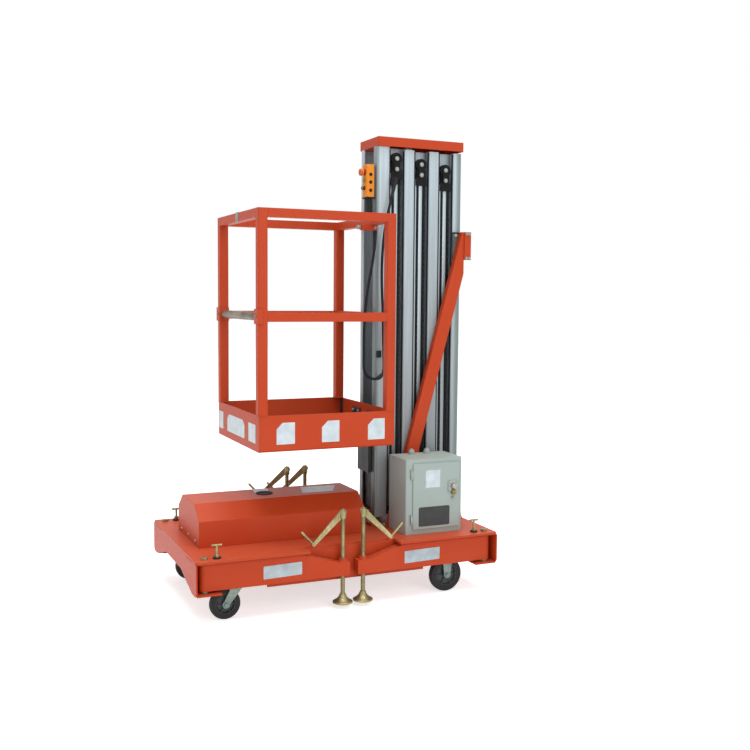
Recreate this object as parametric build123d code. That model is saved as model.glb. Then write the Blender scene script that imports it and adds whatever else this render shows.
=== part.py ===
from build123d import *
import math
import os

# Push-around single mast lift, in millimetres.
# Origin on the floor below the middle of the chassis, +X towards the mast, +Z up, -Y is the front.

# Gap between a shaft, pin or runner and what it turns or slides in
running_gap = 0.3

# Chassis
chassis_half_length = 668.5
chassis_half_width = 399.0
deck_top = 262.0
deck_thickness = 10.0
deck_corner = 14.0
plate = 6.0
lobe_bottom = 125.0
lobe_corner = 20.0
arch_rise = 52.0
arch_foot_inset = 69.0
arch_half_top = 140.0
side_wall_inset = 73.0
side_wall_bottom = 161.0
skirt_drop = 47.0
skirt_castor_gap = 125.0
corner_plate_length = 105.0
notch_half_length = 200.0
notch_inset = 81.0
notch_corner = 18.0
cross_beam_swivel_gap = 140.0
cross_beam_middle = -60.0
cross_beam_fixed_gap = 127.0
cross_beam_width = 40.0
cross_beam_height = 60.0

# Outriggers, with the place of each beam's inner end
pivot_inset = 43.5
beam_inset = 44.0
beam_thickness = 44.0
beam_lobe_gap = 9.0
beam_deck_gap = 7.0
beam_end_height = 57.0
beam_taper_x0 = 222.0
beam_taper_x1 = 68.0
beam_tip_left = -21.0
beam_tip_right = 16.0
nut_tube_radius = 17.0
nut_tube_rise = 12.0
pivot_bolt_radius = 10.0
pivot_washer_rim = 7.0
bolt_head_across = 26.0
bolt_head_height = 9.0
lock_pin_inset = 50.0
lock_pin_height = 53.0
lock_pin_radius = 4.5
lock_pin_grip = 40.0

# Jacks
screw_radius = 9.5
foot_radius = 42.0
foot_bottom = 22.0
foot_rim = 7.0
foot_height = 36.0
foot_sweep = 0.38
foot_neck = 13.0
crank_deck_gap = 16.0
crank_reach = 128.0
crank_drop = 122.0
crank_hub_radius = 15.0
crank_hub_drop = 24.0
crank_end_radius = 8.0
crank_thickness = 6.0
handle_length = 76.0
handle_radius = 5.0
# Inset is measured from the beam's inner end, lift from the front feet, turn is the crank's in degrees
jack_columns = ("name", "end", "side", "inset", "lift", "turn")
jacks = (
    ("fl", -1, -1, 23.0, 0.0, 180.0),
    ("fr", 1, -1, 31.0, 0.0, 0.0),
    ("rl", -1, 1, 23.0, 62.0, 163.0),
    ("rr", 1, 1, 31.0, 62.0, 163.0),
)

# Castors: two that swivel at the basket end, two fixed at the mast end
castor_inset = 96.0
swivel_inset = 183.5
swivel_trail = 45.0
swivel_wheel_radius = 62.5
fixed_inset = 206.5
fixed_wheel_radius = 75.0
wheel_width = 32.0
tyre_shoulder = 5.0
wheel_clearance = 5.0
fork_thickness = 4.0
fork_crown_gap = 6.0
fork_crown_half = 27.0
fork_leg_half = 25.0
fork_eye_radius = 15.0
axle_radius = 5.0
axle_nut_across = 16.0
axle_nut_height = 6.0
kingpin_radius = 8.0
race_rim = 16.0
mount_half_length = 50.0
mount_inner_reach = 93.0

# Power cover, and the power unit as one plain block below it
cover_inset = 65.5
cover_mast_gap = 88.5
cover_half_width = 183.0
cover_shoulder_height = 108.0
cover_height = 168.0
cover_ridge_half_width = 105.0
cover_wall = 3.0
cover_hole_x = -269.0
cover_hole_radius = 32.0
plug_rim = 5.0
plug_rim_height = 3.0
unit_end_gap = 43.0
unit_side_gap = 53.0
unit_ridge_gap = 35.0
pump_drop = 15.0
battery_length = 230.0
pump_end_gap = 68.0
pump_half_width = 100.0

# Control cabinet
cabinet_end_inset = 128.5
cabinet_side_inset = 96.0
cabinet_length = 272.0
cabinet_brace_gap = 6.0
cabinet_height = 327.0
cabinet_wall = 3.0
cabinet_corner = 6.0
door_margin_left = 32.0
door_margin_right = 14.0
door_margin_bottom = 22.0
door_margin_top = 18.0
door_corner = 4.0
door_thickness = 4.0
door_gap = 1.0
door_frame = 12.0
hinge_offset_x = 7.0
hinge_offset_y = 5.5
hinge_end_margin = 45.0
hinge_half = 22.0
hinge_lug = 5.0
hinge_pin_radius = 2.5
knuckle_radius = 4.5
hasp_size = 52.0
hasp_end_inset = 32.0
hasp_rise = 36.0
hasp_thickness = 7.0
gland_radius = 13.0
gland_height = 13.0
gland_spacing = 76.0

# Mast of four nested extrusions; section 0 is fixed, each has a tongue held in the one to its right
mast_inset = 75.5
mast_half_depth = 88.0
mast_wall = 5.0
mast_corner = 7.0
mast_bottom = 300.0
mast_top = 1932.0
section_widths = (42.0, 50.0, 50.0, 62.0)
recess_width = 71.5
mouth_half = 52.0
slide_clearance = 6.0
pad_length = 180.0
mouth_pad_gap = 4.0
cap_gap = 8.0
cap_height = 40.0
cap_wall = 4.0
cap_side_reach = 15.0
cap_end_reach = 3.5
foot_plate = 10.0
foot_reach = 16.5
foot_rib = 6.0
foot_rib_height = 238.0
foot_rib_sweep_out = 0.35
foot_rib_sweep_up = 0.45
foot_edge = 6.5

# Sheaves and chains of sections 1, 2 and 3: how far each sheave is below the mast's top
sheave_drops = (0.0, 77.0, 59.0, 40.0)
sheave_radius = 26.0
sheave_flange = 2.0
chain_root = 10.5
chain_width = 9.0
chain_depth = 12.0
chain_play = 0.5
recess_inset = 3.0
cheek_radius = 14.0
cheek_drop = 46.0
cheek_thickness = 4.0
anchor_half = 26.0
anchor_top = 56.0
anchor_height = 36.0
anchor_foot = 20.0

# Brace and what holds its head
brace_depth = 28.0
brace_width = 58.0
brace_foot_x = 297.0
brace_head_z = 1503.0
clamp_thickness = 6.0
bracket_z0 = 1455.0
bracket_z1 = 1580.0
bracket_reach = 33.0
bracket_back = 8.0
bracket_side = 6.0

# Platform
basket_gap = 6.0
basket_length = 600.5
basket_half_depth = 307.0
post_size = 40.0
rail_size = 36.0
post_corner = 5.0
top_rail_top = 1631.5
mid_rail_top = 1218.0
tray_bottom = 658.0
tray_top = 806.0
tray_wall = 3.0
tray_bend = 6.0
tray_inset = 2.0
floor_thickness = 4.0
carriage_shoe_z0 = 335.0
carriage_shoe_z1 = 600.0
carriage_pad_length = 60.0
carriage_shoe_thickness = 30.0
carriage_neck_z0 = 500.0
carriage_back_half = 60.0
carriage_back_thickness = 14.0
arm_length = 410.0
arm_height = 30.0
arm_half_width = 12.0
arm_offset = 48.0
bar_z = 1203.0
bar_radius = 17.0
collar_height = 60.0
collar_plate = 4.0
collar_clearance = 0.5

# Control station on the right top rail
station_inset = 3.5
station_width = 37.0
station_y0 = -85.0
station_y1 = -35.0
station_rise = 82.5
station_height = 146.0
station_corner = 7.0
button_columns = ("below the top", "stem radius", "stem length", "cap radius", "cap length")
buttons = (
    (34.0, 7.0, 10.0, 15.0, 13.0),
    (68.0, 9.0, 2.0, 9.0, 4.0),
    (102.0, 5.0, 9.0, 8.0, 5.0),
)
knob_drops = (44.0, 77.0, 112.0)
knob_radius = 4.0
knob_length = 5.0

# Control cable, hanging in one plane in front of the mast, and the pieces that hold it
cable_radius = 6.0
cable_cap_gap = 7.0
gland_plate_length = 74.0
gland_plate_width = 30.0
gland_plate_height = 23.5
gland_plate_margin = 2.0
gland_knob_radius = 8.0
gland_knob_length = 18.0
cable_clip_gap = 0.5
clip_block = 12.0
clip_step = 2.0
# Each point is measured from the platform's mast side and from the underside of the cable bracket
cable_route = (
    (-14.5, 0.0), (-14.5, -75.0), (-28.5, -160.0), (-47.5, -256.0), (-58.5, -346.0),
    (-63.5, -442.0), (-63.0, -542.0), (-63.5, -609.6), (-42.9, -638.0), (-9.5, -648.8),
    (23.9, -638.0), (44.5, -609.6), (45.0, -542.0), (46.5, -442.0), (44.5, -347.0),
    (33.5, -262.0), (28.5, -187.0), (32.5, -102.0), (42.5, -12.0), (55.5, 78.0),
    (70.5, 158.0), (84.5, 228.0),
)
stop_block_drop = 542.0

# Places that follow from the sizes above
frame_top = deck_top - deck_thickness
side_wall_y = chassis_half_width - side_wall_inset
pivot_x = chassis_half_length - pivot_inset
beam_y = chassis_half_width - beam_inset
beam_bottom = lobe_bottom + plate + beam_lobe_gap
beam_top = frame_top - beam_deck_gap
castor_y = chassis_half_width - castor_inset
swivel_x = swivel_inset - chassis_half_length
fixed_x = chassis_half_length - fixed_inset
crank_z = deck_top + crank_deck_gap + crank_drop
cover_x0 = cover_inset - chassis_half_length
cabinet_x1 = chassis_half_length - cabinet_end_inset
cabinet_x0 = cabinet_x1 - cabinet_length
cabinet_front = cabinet_side_inset - chassis_half_width
cabinet_top = deck_top + cabinet_height
door_x0 = cabinet_x0 + door_margin_left
door_x1 = cabinet_x1 - door_margin_right
door_z0 = deck_top + door_margin_bottom
door_z1 = cabinet_top - door_margin_top
hinge_x = door_x0 - hinge_offset_x
hinge_y = cabinet_front - hinge_offset_y
tongue_web = mouth_half - slide_clearance
tongue_head = mast_half_depth - mast_wall - slide_clearance
cap_bottom = mast_top + cap_gap
cap_top = cap_bottom + cap_height
brace_y = mast_half_depth + clamp_thickness + brace_depth / 2
cabinet_back = -brace_y - brace_depth / 2 - cabinet_brace_gap
cable_y = -mast_half_depth - cap_side_reach - cable_cap_gap - cable_radius


def section_left(index):
    x = chassis_half_length - mast_inset
    for width in section_widths[1:index + 1]:
        x -= recess_width + width
    return x


def section_right(index):
    return section_left(index) + section_widths[index]


cover_x1 = section_left(3) - cover_mast_gap
basket_x1 = section_left(3) - basket_gap
basket_x0 = basket_x1 - basket_length
cable_top_z = top_rail_top - rail_size - gland_plate_height


def block(x0, x1, y0, y1, z0, z1):
    return Pos((x0 + x1) / 2, (y0 + y1) / 2, (z0 + z1) / 2) * Box(abs(x1 - x0), abs(y1 - y0), abs(z1 - z0))


def post(x, y, z0, z1, radius):
    return Pos(x, y, (z0 + z1) / 2) * Cylinder(radius, abs(z1 - z0))


def rod_y(x, z, y0, y1, radius):
    return Pos(x, (y0 + y1) / 2, z) * Rot(90, 0, 0) * Cylinder(radius, abs(y1 - y0))


def rod_x(y, z, x0, x1, radius):
    return Pos((x0 + x1) / 2, y, z) * Rot(0, 90, 0) * Cylinder(radius, abs(x1 - x0))


def hexagon(across, height):
    """Upright hexagonal head on the origin, across its flats."""
    return extrude(RegularPolygon(across / math.sqrt(3), 6), amount=height)


def rectangle(x0, x1, y0, y1, corner=0.0):
    """Plan rectangle, with rounded corners where a corner radius is given."""
    w, h = abs(x1 - x0), abs(y1 - y0)
    shape = RectangleRounded(w, h, corner) if corner else Rectangle(w, h)
    return Pos((x0 + x1) / 2, (y0 + y1) / 2) * shape


def upright(profile, z0, z1):
    """Plan profile extruded between two heights."""
    return extrude(Pos(0, 0, z0) * profile, amount=z1 - z0)


def plate_xz(profile, y0, y1):
    """Profile in X and Z, or the points of its outline, given its thickness along Y."""
    if isinstance(profile, list):
        profile = make_face(Polyline(*profile, close=True))
    return Pos(0, max(y0, y1), 0) * extrude(Plane.XZ * profile, amount=abs(y1 - y0))


def plate_yz(profile, x0, x1):
    """Profile in Y and Z, or the points of its outline, given its thickness along X."""
    if isinstance(profile, list):
        profile = make_face(Polyline(*profile, close=True))
    return Pos(x0, 0, 0) * extrude(Plane.YZ * profile, amount=x1 - x0)


def fuse(parts):
    whole = parts[0]
    for piece in parts[1:]:
        whole = whole + piece
    return whole


def end_plate(x0, x1):
    """Cross plate with a lobe at each side and a flat arch between them."""
    w, foot = chassis_half_width, chassis_half_width - arch_foot_inset
    arch_top = lobe_bottom + arch_rise
    outline = [
        (-w, frame_top), (-w, lobe_bottom), (-foot, lobe_bottom), (-arch_half_top, arch_top),
        (arch_half_top, arch_top), (foot, lobe_bottom), (w, lobe_bottom), (w, frame_top),
    ]
    face = make_face(Polyline(*outline, close=True))
    face = fillet(face.vertices().filter_by(lambda v: v.Y < frame_top - 1), lobe_corner)
    return plate_yz(face, x0, x1)


def chassis_frame():
    half, inner = chassis_half_length, chassis_half_length - plate
    wall_in, wall_out = side_wall_y - plate, side_wall_y
    parts = [end_plate(-half, -inner), end_plate(inner, half)]
    for side in (-1, 1):
        parts.append(block(-inner, inner, side * wall_in, side * wall_out, side_wall_bottom, frame_top))
        parts.append(block(swivel_x + skirt_castor_gap, fixed_x - skirt_castor_gap + plate,
                           side * wall_in, side * wall_out, side_wall_bottom - skirt_drop, side_wall_bottom))
        for end in (-1, 1):
            plan = rectangle(end * inner, end * (half - corner_plate_length), side * wall_in,
                             side * (chassis_half_width - plate / 2))
            parts.append(upright(plan, lobe_bottom, lobe_bottom + plate))
            parts.append(block(end * inner, end * (half - corner_plate_length), side * wall_in,
                               side * wall_out, lobe_bottom, side_wall_bottom))
    for x in (swivel_x + cross_beam_swivel_gap, cross_beam_middle, fixed_x - cross_beam_fixed_gap):
        parts.append(block(x - cross_beam_width / 2, x + cross_beam_width / 2, -wall_in, wall_in,
                           frame_top - cross_beam_height, frame_top))
    return fuse(parts)


def castor_mounts():
    """Bracket over each castor: a plate, an inner web and, on the swivelling ones, the upper race."""
    mounts = []
    for side in (-1, 1):
        y, inner, outer = side * castor_y, side * (castor_y - mount_inner_reach), side * (side_wall_y - plate)
        for x in (swivel_x, fixed_x):
            x0, x1 = x - mount_half_length, x + mount_half_length
            mount = block(x0, x1, inner, outer, side_wall_bottom, side_wall_bottom + plate)
            mount = mount + block(x0, x1, inner, inner + side * plate, side_wall_bottom, frame_top)
            if x == swivel_x:
                race_bottom = swivel_crown() + fork_thickness + running_gap
                mount = mount + post(x, y, race_bottom, side_wall_bottom, kingpin_radius + race_rim)
                mount = mount - post(x, y, race_bottom - 1, frame_top, kingpin_radius + running_gap)
            mounts.append(mount)
    return mounts


def chassis_deck():
    half, w = chassis_half_length, chassis_half_width
    plan = rectangle(-half, half, -w, w, deck_corner)
    notch = w - notch_inset
    for side in (-1, 1):
        plan = plan - rectangle(-notch_half_length, notch_half_length, side * notch, side * (w + notch_inset),
                                notch_corner)
    return upright(plan, frame_top, deck_top)


def cover_outline(inset):
    w, ridge = cover_half_width - inset, cover_ridge_half_width - inset / 2
    shoulder, top = deck_top + cover_shoulder_height - inset / 3, deck_top + cover_height - inset
    base = deck_top - inset
    return [(-w, base), (-w, shoulder), (-ridge, top), (ridge, top), (w, shoulder), (w, base)]


def power_cover():
    """Folded cover with sloping shoulders and a round hole in its ridge."""
    shell = plate_yz(cover_outline(0.0), cover_x0, cover_x1)
    shell = shell - plate_yz(cover_outline(cover_wall), cover_x0 + cover_wall, cover_x1 - cover_wall)
    top = deck_top + cover_height
    return shell - post(cover_hole_x, 0, top - 2 * cover_wall, top + cover_wall, cover_hole_radius)


def cover_plug():
    """Rubber plug that closes the cover's round hole, with a shallow dish in it."""
    top = deck_top + cover_height
    plug = post(cover_hole_x, 0, top - cover_wall, top, cover_hole_radius - running_gap)
    plug = plug + post(cover_hole_x, 0, top, top + plug_rim_height, cover_hole_radius + plug_rim)
    return plug - post(cover_hole_x, 0, top, top + 2 * plug_rim_height, cover_hole_radius - plug_rim)


def power_unit():
    half, top = cover_half_width - unit_side_gap, deck_top + cover_height - unit_ridge_gap
    x0 = cover_x0 + unit_end_gap
    x1 = x0 + battery_length
    battery = block(x0, x1, -half, half, deck_top, top)
    return battery + block(x1, cover_x1 - pump_end_gap, -pump_half_width, pump_half_width, deck_top,
                           top - pump_drop)


def hinge_heights():
    return door_z0 + hinge_end_margin, door_z1 - hinge_end_margin


def cabinet_body():
    w = cabinet_wall
    plan = rectangle(cabinet_x0, cabinet_x1, cabinet_front, cabinet_back, cabinet_corner)
    body = upright(plan, deck_top, cabinet_top)
    body = body - block(cabinet_x0 + w, cabinet_x1 - w, cabinet_front + w, cabinet_back - w,
                        deck_top + w, cabinet_top - w)
    body = body - block(door_x0 + door_frame, door_x1 - door_frame, cabinet_front - w, cabinet_front + 2 * w,
                        door_z0 + door_frame, door_z1 - door_frame)
    parts = [body]
    for z in hinge_heights():
        parts.append(post(hinge_x, hinge_y, z - hinge_half, z + hinge_half, hinge_pin_radius))
        for z0 in (z - hinge_half, z + hinge_half - hinge_lug):
            parts.append(block(hinge_x - hinge_lug, hinge_x + hinge_lug - 1, hinge_y - hinge_lug + 1,
                               cabinet_front + 1, z0, z0 + hinge_lug))
    middle = (cabinet_x0 + cabinet_x1) / 2
    for x in (middle - gland_spacing / 2, middle + gland_spacing / 2):
        gland = post(x, cabinet_back - 2 * gland_radius, cabinet_top, cabinet_top + gland_height, gland_radius)
        parts.append(gland)
    return fuse(parts)


def cabinet_door():
    face = cabinet_front - door_gap
    outer = face - door_thickness
    profile = rectangle(door_x0, door_x1, door_z0, door_z1, door_corner)
    door = plate_xz(profile, outer, face)
    x, z = door_x1 - hasp_end_inset, (door_z0 + door_z1) / 2 + hasp_rise
    half = hasp_size / 2
    hasp = plate_xz(rectangle(x - half, x + half, z - half, z + half, hasp_size / 6), outer - hasp_thickness / 2,
                    outer)
    lock = rod_y(x, z, outer - hasp_thickness - hasp_thickness, outer, hasp_size / 5)
    key = rod_y(x, z - hasp_size, outer - hasp_thickness / 2, outer, hasp_size / 8)
    parts = [door, hasp, lock, key]
    reach = hinge_half - hinge_lug - 1
    for z in hinge_heights():
        knuckle = post(hinge_x, hinge_y, z - reach, z + reach, knuckle_radius)
        leaf = block(hinge_x, door_x0 + door_corner, hinge_y - hinge_pin_radius / 2, face, z - reach, z + reach)
        bore = post(hinge_x, hinge_y, z - hinge_half, z + hinge_half, hinge_pin_radius + running_gap)
        parts.append(knuckle + leaf - bore)
    return fuse(parts)


def section_profile(index):
    """C-shaped extrusion, open to the left, and the tongue on its right that the next section holds."""
    left, right = section_left(index), section_right(index)
    d, t = mast_half_depth, mast_wall
    profile = rectangle(left, right, -d, d, mast_corner)
    profile = profile - rectangle(left + t, right - t, t - d, d - t)
    profile = profile - rectangle(left - t, left + 2 * t, -mouth_half, mouth_half)
    if index:
        head0 = section_left(index - 1) + t + slide_clearance
        head1 = section_right(index - 1) - t - slide_clearance
        for side in (-1, 1):
            profile = profile + rectangle(right - t, head1, side * (tongue_web - t), side * tongue_web)
            profile = profile + rectangle(head0, head1, side * (tongue_web - t), side * tongue_head)
    return profile


def slide_pads(index, z0, z1):
    """Two guide pads that fill the channel of a section but for the running gap."""
    x0 = section_left(index) + mast_wall + running_gap
    x1 = section_right(index) - mast_wall - running_gap
    y0, y1 = mouth_half + mouth_pad_gap, mast_half_depth - mast_wall - running_gap
    return [block(x0, x1, y0, y1, z0, z1), block(x0, x1, -y1, -y0, z0, z1)]


def mast_section(index):
    bottom = mast_bottom if index else deck_top + foot_plate
    top = cap_bottom if index == 3 else mast_top
    section = upright(section_profile(index), bottom, top)
    if index:
        section = fuse([section] + slide_pads(index - 1, mast_bottom, mast_bottom + pad_length))
    return section


def chain_arch(x, z, y0, y1):
    """Half turn of chain over the sheave."""
    outer, inner = Circle(chain_root + chain_width), Circle(chain_root)
    ring = outer - inner - Pos(0, -2 * sheave_radius) * Rectangle(4 * sheave_radius, 4 * sheave_radius)
    return plate_xz(Pos(x, z) * ring, y0, y1)


def chain_set(index):
    """Sheave, cheek, chain and anchors in the front and rear recess of one section."""
    x, z = section_right(index) + recess_width / 2, mast_top - sheave_drops[index]
    face = recess_inset - mast_half_depth
    chain0 = face + cheek_thickness + sheave_flange + chain_play
    chain1 = chain0 + chain_depth
    parts = [
        rod_y(x, z, chain0 - sheave_flange - chain_play, chain0 - chain_play, sheave_radius),
        rod_y(x, z, chain1 + chain_play, chain1 + chain_play + sheave_flange, sheave_radius),
        rod_y(x, z, chain0 - chain_play, -tongue_web, chain_root),
        chain_arch(x, z, chain0, chain1),
        plate_xz(rectangle(x - cheek_radius, x + cheek_radius, z - cheek_drop - cheek_radius, z + cheek_radius,
                           cheek_radius - 1), face, face + cheek_thickness),
        block(x - anchor_half, x + anchor_half, face + cheek_thickness, -tongue_web,
              z - anchor_top - anchor_height, z - anchor_top),
        block(x - cheek_radius, x + cheek_radius, face + cheek_thickness, chain0,
              z - anchor_top - 1, z - sheave_radius - 1),
        block(x - anchor_half, x + anchor_half, face + cheek_thickness, -tongue_web,
              mast_bottom + anchor_foot, mast_bottom + 2 * anchor_foot),
    ]
    for bolt_z in (z, z - cheek_drop):
        parts.append(Pos(x, face, bolt_z) * Rot(90, 0, 0) * hexagon(cheek_radius, recess_inset - 1))
    for side in (-1, 1):
        parts.append(block(x + side * chain_root, x + side * (chain_root + chain_width), chain0, chain1,
                           mast_bottom + anchor_foot, z))
    front = fuse(parts)
    return front, mirror(front, Plane.XZ)


def mast_cap():
    """Lid over the mast, hollow below where the inner sections come up and carried by section 3."""
    left, right = section_left(3), section_right(0) + cap_end_reach
    half = mast_half_depth + cap_side_reach
    lid = upright(rectangle(left, right, -half, half, mast_corner), cap_bottom, cap_top)
    pocket = rectangle(section_right(3) + cap_wall, right - cap_wall, cap_wall - half, half - cap_wall)
    return lid - upright(pocket, cap_bottom - cap_wall, cap_top - cap_wall)


def mast_foot():
    """Foot plate, back plate and three ribs with a hollow sweep, behind the fixed section."""
    right = section_right(0)
    edge = chassis_half_length - foot_edge
    half = mast_half_depth - foot_rib / 3
    base_top = deck_top + foot_plate
    base = block(section_left(3) - foot_reach, edge, -mast_half_depth - foot_rib / 2,
                 mast_half_depth + foot_rib / 2, deck_top, base_top)
    back = block(right, right + bracket_back, -half, half, base_top, base_top + foot_rib_height + foot_plate)
    x0, z1 = right + bracket_back, base_top + foot_rib_height
    outline = [Line((x0, base_top), (edge, base_top)),
               ThreePointArc((edge, base_top), (x0 + (edge - x0) * foot_rib_sweep_out,
                                                base_top + foot_rib_height * foot_rib_sweep_up), (x0, z1)),
               Line((x0, z1), (x0, base_top))]
    rib = make_face(Curve() + outline)
    ribs = [plate_xz(rib, y, y + foot_rib) for y in (-half, -foot_rib / 2, half - foot_rib)]
    return fuse([base, back] + ribs)


def brace(side):
    """Sloping tube from the deck to the top of the bracket, cut along the back of the fixed section."""
    cut_x = section_right(0)
    slope = (cut_x - brace_foot_x) / (brace_head_z - deck_top)
    top_x = cut_x + (bracket_z1 - brace_head_z) * slope
    half = brace_width / 2 * math.sqrt(1 + slope * slope)
    outline = [(brace_foot_x - half, deck_top), (brace_foot_x + half, deck_top),
               (top_x + half, bracket_z1), (top_x - half, bracket_z1)]
    y = side * brace_y
    tube = plate_xz(outline, y - brace_depth / 2, y + brace_depth / 2)
    return tube - block(cut_x, cut_x + 2 * brace_width, -2 * brace_y, 2 * brace_y,
                        deck_top + brace_width, bracket_z1 + brace_width)


def mast_clamp():
    """Front and rear clamp plate between the fixed section and the head of each brace."""
    inner, outer = mast_half_depth, mast_half_depth + clamp_thickness
    plates = []
    for side in (-1, 1):
        plates.append(block(section_left(0), section_right(0), side * inner, side * outer, bracket_z0, bracket_z1))
    return plates


def brace_bracket():
    right = section_right(0)
    inner = brace_y + brace_depth / 2
    outer = inner + bracket_side
    profile = rectangle(right, right + bracket_reach, -outer, outer) - \
        rectangle(right + bracket_back, right + 2 * bracket_reach, -inner, inner)
    return upright(profile, bracket_z0, bracket_z1)


def carriage():
    """Slide of the platform in section 3, with its back plate and two arms under the floor."""
    shoe0 = section_left(3) + mast_wall + slide_clearance
    shoe = block(shoe0, shoe0 + carriage_shoe_thickness, -tongue_head, tongue_head,
                 carriage_shoe_z0, carriage_shoe_z1)
    neck = block(basket_x1 - 1, shoe0 + 1, -tongue_web, tongue_web, carriage_neck_z0, carriage_shoe_z1)
    back_x = basket_x1 - carriage_back_thickness
    back = block(back_x, basket_x1, -carriage_back_half, carriage_back_half, carriage_neck_z0, tray_bottom)
    parts = [shoe, neck, back]
    for y in (-arm_offset, arm_offset):
        parts.append(block(basket_x1 - arm_length, basket_x1, y - arm_half_width, y + arm_half_width,
                           tray_bottom - arm_height, tray_bottom))
    parts += slide_pads(3, carriage_shoe_z0, carriage_shoe_z0 + carriage_pad_length)
    parts += slide_pads(3, carriage_shoe_z1 - carriage_pad_length, carriage_shoe_z1)
    return fuse(parts)


def tray_outline(inset, bottom, top):
    w, bend = basket_half_depth - tray_inset - inset, tray_bend - inset
    return [(-w, top), (-w, bottom + bend), (bend - w, bottom), (w - bend, bottom), (w, bottom + bend), (w, top)]


def basket_tray():
    """Floor and toe boards folded from one sheet, with a chamfered lower edge."""
    x0, x1 = basket_x0 + tray_inset, basket_x1 - tray_inset
    shell = plate_yz(tray_outline(0.0, tray_bottom, tray_top), x0, x1)
    return shell - plate_yz(tray_outline(tray_wall, tray_bottom + floor_thickness, tray_top + tray_wall),
                            x0 + tray_wall, x1 - tray_wall)


def cable_bracket():
    """Plate under the right top rail that the control cable hangs from, with its knob."""
    z0, z1 = cable_top_z, cable_top_z + gland_plate_height
    x1 = basket_x1 + cable_route[0][0] + cable_radius + gland_plate_margin
    x0 = x1 - gland_plate_length
    plan = rectangle(x0, x1, cable_y - gland_plate_width / 2, cable_y + gland_plate_width / 2, post_corner)
    return upright(plan, z0, z1) + rod_x(cable_y, (z0 + z1) / 2, x0 - gland_knob_length, x0, gland_knob_radius)


def basket_frame():
    s, d = post_size, basket_half_depth
    x0, x1 = basket_x0, basket_x1
    top0, mid0 = top_rail_top - rail_size, mid_rail_top - rail_size
    parts = [cable_bracket()]
    for side in (-1, 1):
        y0, y1 = side * d, side * (d - s)
        for px in (x0, x1 - s):
            parts.append(upright(rectangle(px, px + s, y0, y1, post_corner), tray_top, top_rail_top))
        inner = side * (d - rail_size)
        parts.append(block(x0 + post_corner, x1 - post_corner, y0, inner, top0, top_rail_top))
        parts.append(block(x0 + post_corner, x1 - post_corner, y0, inner, mid0, mid_rail_top))
    for px in (x0, x1 - rail_size):
        parts.append(block(px, px + rail_size, post_corner - d, d - post_corner, top0, top_rail_top))
    parts.append(block(x1 - rail_size, x1, post_corner - d, d - post_corner, mid0, mid_rail_top))
    return fuse(parts)


def entry_bar():
    """Sliding bar across the way in, with a collar round each of its two posts."""
    s, d, c, t = post_size, basket_half_depth, collar_clearance, collar_plate
    z0, z1 = bar_z - collar_height / 2, bar_z + collar_height / 2
    inner = d - s - c
    x_out = basket_x0 - c
    parts = [rod_y(basket_x0 + s / 2, bar_z, -inner, inner, bar_radius)]
    for side in (-1, 1):
        parts.append(block(x_out - t, basket_x0 + s, side * (inner - t), side * inner, z0, z1))
        parts.append(block(x_out - t, x_out, side * (inner - t), side * (d + c + t), z0, z1))
        parts.append(block(x_out - t, basket_x0 + s / 2, side * (d + c), side * (d + c + t), z0, z1))
    return fuse(parts)


def control_station():
    x1 = basket_x1 - station_inset
    x0 = x1 - station_width
    z0 = top_rail_top + station_rise
    z1 = z0 + station_height
    middle = (station_y0 + station_y1) / 2
    parts = [upright(rectangle(x0, x1, station_y0, station_y1, station_corner), z0, z1)]
    for drop, stem, stem_length, cap, cap_length in buttons:
        parts.append(rod_x(middle, z1 - drop, x0 - stem_length, x0, stem))
        parts.append(rod_x(middle, z1 - drop, x0 - stem_length - cap_length, x0 - stem_length, cap))
    for drop in knob_drops:
        parts.append(rod_y((x0 + x1) / 2, z1 - drop, station_y0 - knob_length, station_y0, knob_radius))
    parts.append(upright(rectangle(x0 + station_corner, x1 - station_corner, station_y0 + station_corner,
                                   station_y1 - station_corner, 2.0), top_rail_top, z0))
    return fuse(parts)


def cable_points():
    return [(basket_x1 + x, cable_top_z + z) for x, z in cable_route]


def control_cable():
    """Tube along the hanging route, its straight runs joined by the largest arcs that fit."""
    route, radii = cable_points(), []
    for before, corner, after in zip(route, route[1:], route[2:]):
        run_in, run_out = math.dist(before, corner), math.dist(corner, after)
        heading_in = math.atan2(corner[1] - before[1], corner[0] - before[0])
        heading_out = math.atan2(after[1] - corner[1], after[0] - corner[0])
        turn = abs((heading_out - heading_in + math.pi) % (2 * math.pi) - math.pi)
        radii.append(0.45 * min(run_in, run_out) / math.tan(turn / 2))
    path = FilletPolyline(*[(x, cable_y, z) for x, z in route], radius=radii)
    start = Plane(origin=path @ 0, z_dir=path % 0)
    tube = sweep(start * Circle(cable_radius), path=path)
    print("cable radii", [round(r) for r in radii])
    print("cable length", round(path.length), "volume over section times length",
          round(tube.volume / (math.pi * cable_radius ** 2 * path.length), 4))
    return tube


def cable_clip():
    """Clip beside the cable's upper end and a stop block lower down, both on section 3."""
    top_x, top_z = cable_points()[-1]
    arm_end = cable_y + cable_radius + cable_clip_gap
    face = recess_inset - mast_half_depth
    arm = block(top_x - 2 * cable_radius, top_x + 2 * cable_radius, arm_end, face,
                top_z - 4 * cable_radius, top_z + cable_radius)
    stop_z = cable_top_z - stop_block_drop
    stop = block(section_left(3) + clip_step, section_left(3) + 2 * clip_block, cable_y + 3 * cable_radius,
                 -mast_half_depth, stop_z - clip_block, stop_z + 3 * cable_radius)
    return [arm, stop]


def beam_tip(end):
    return beam_tip_left if end < 0 else beam_tip_right


def jack_x(end, inset):
    return beam_tip(end) + end * inset


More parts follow.
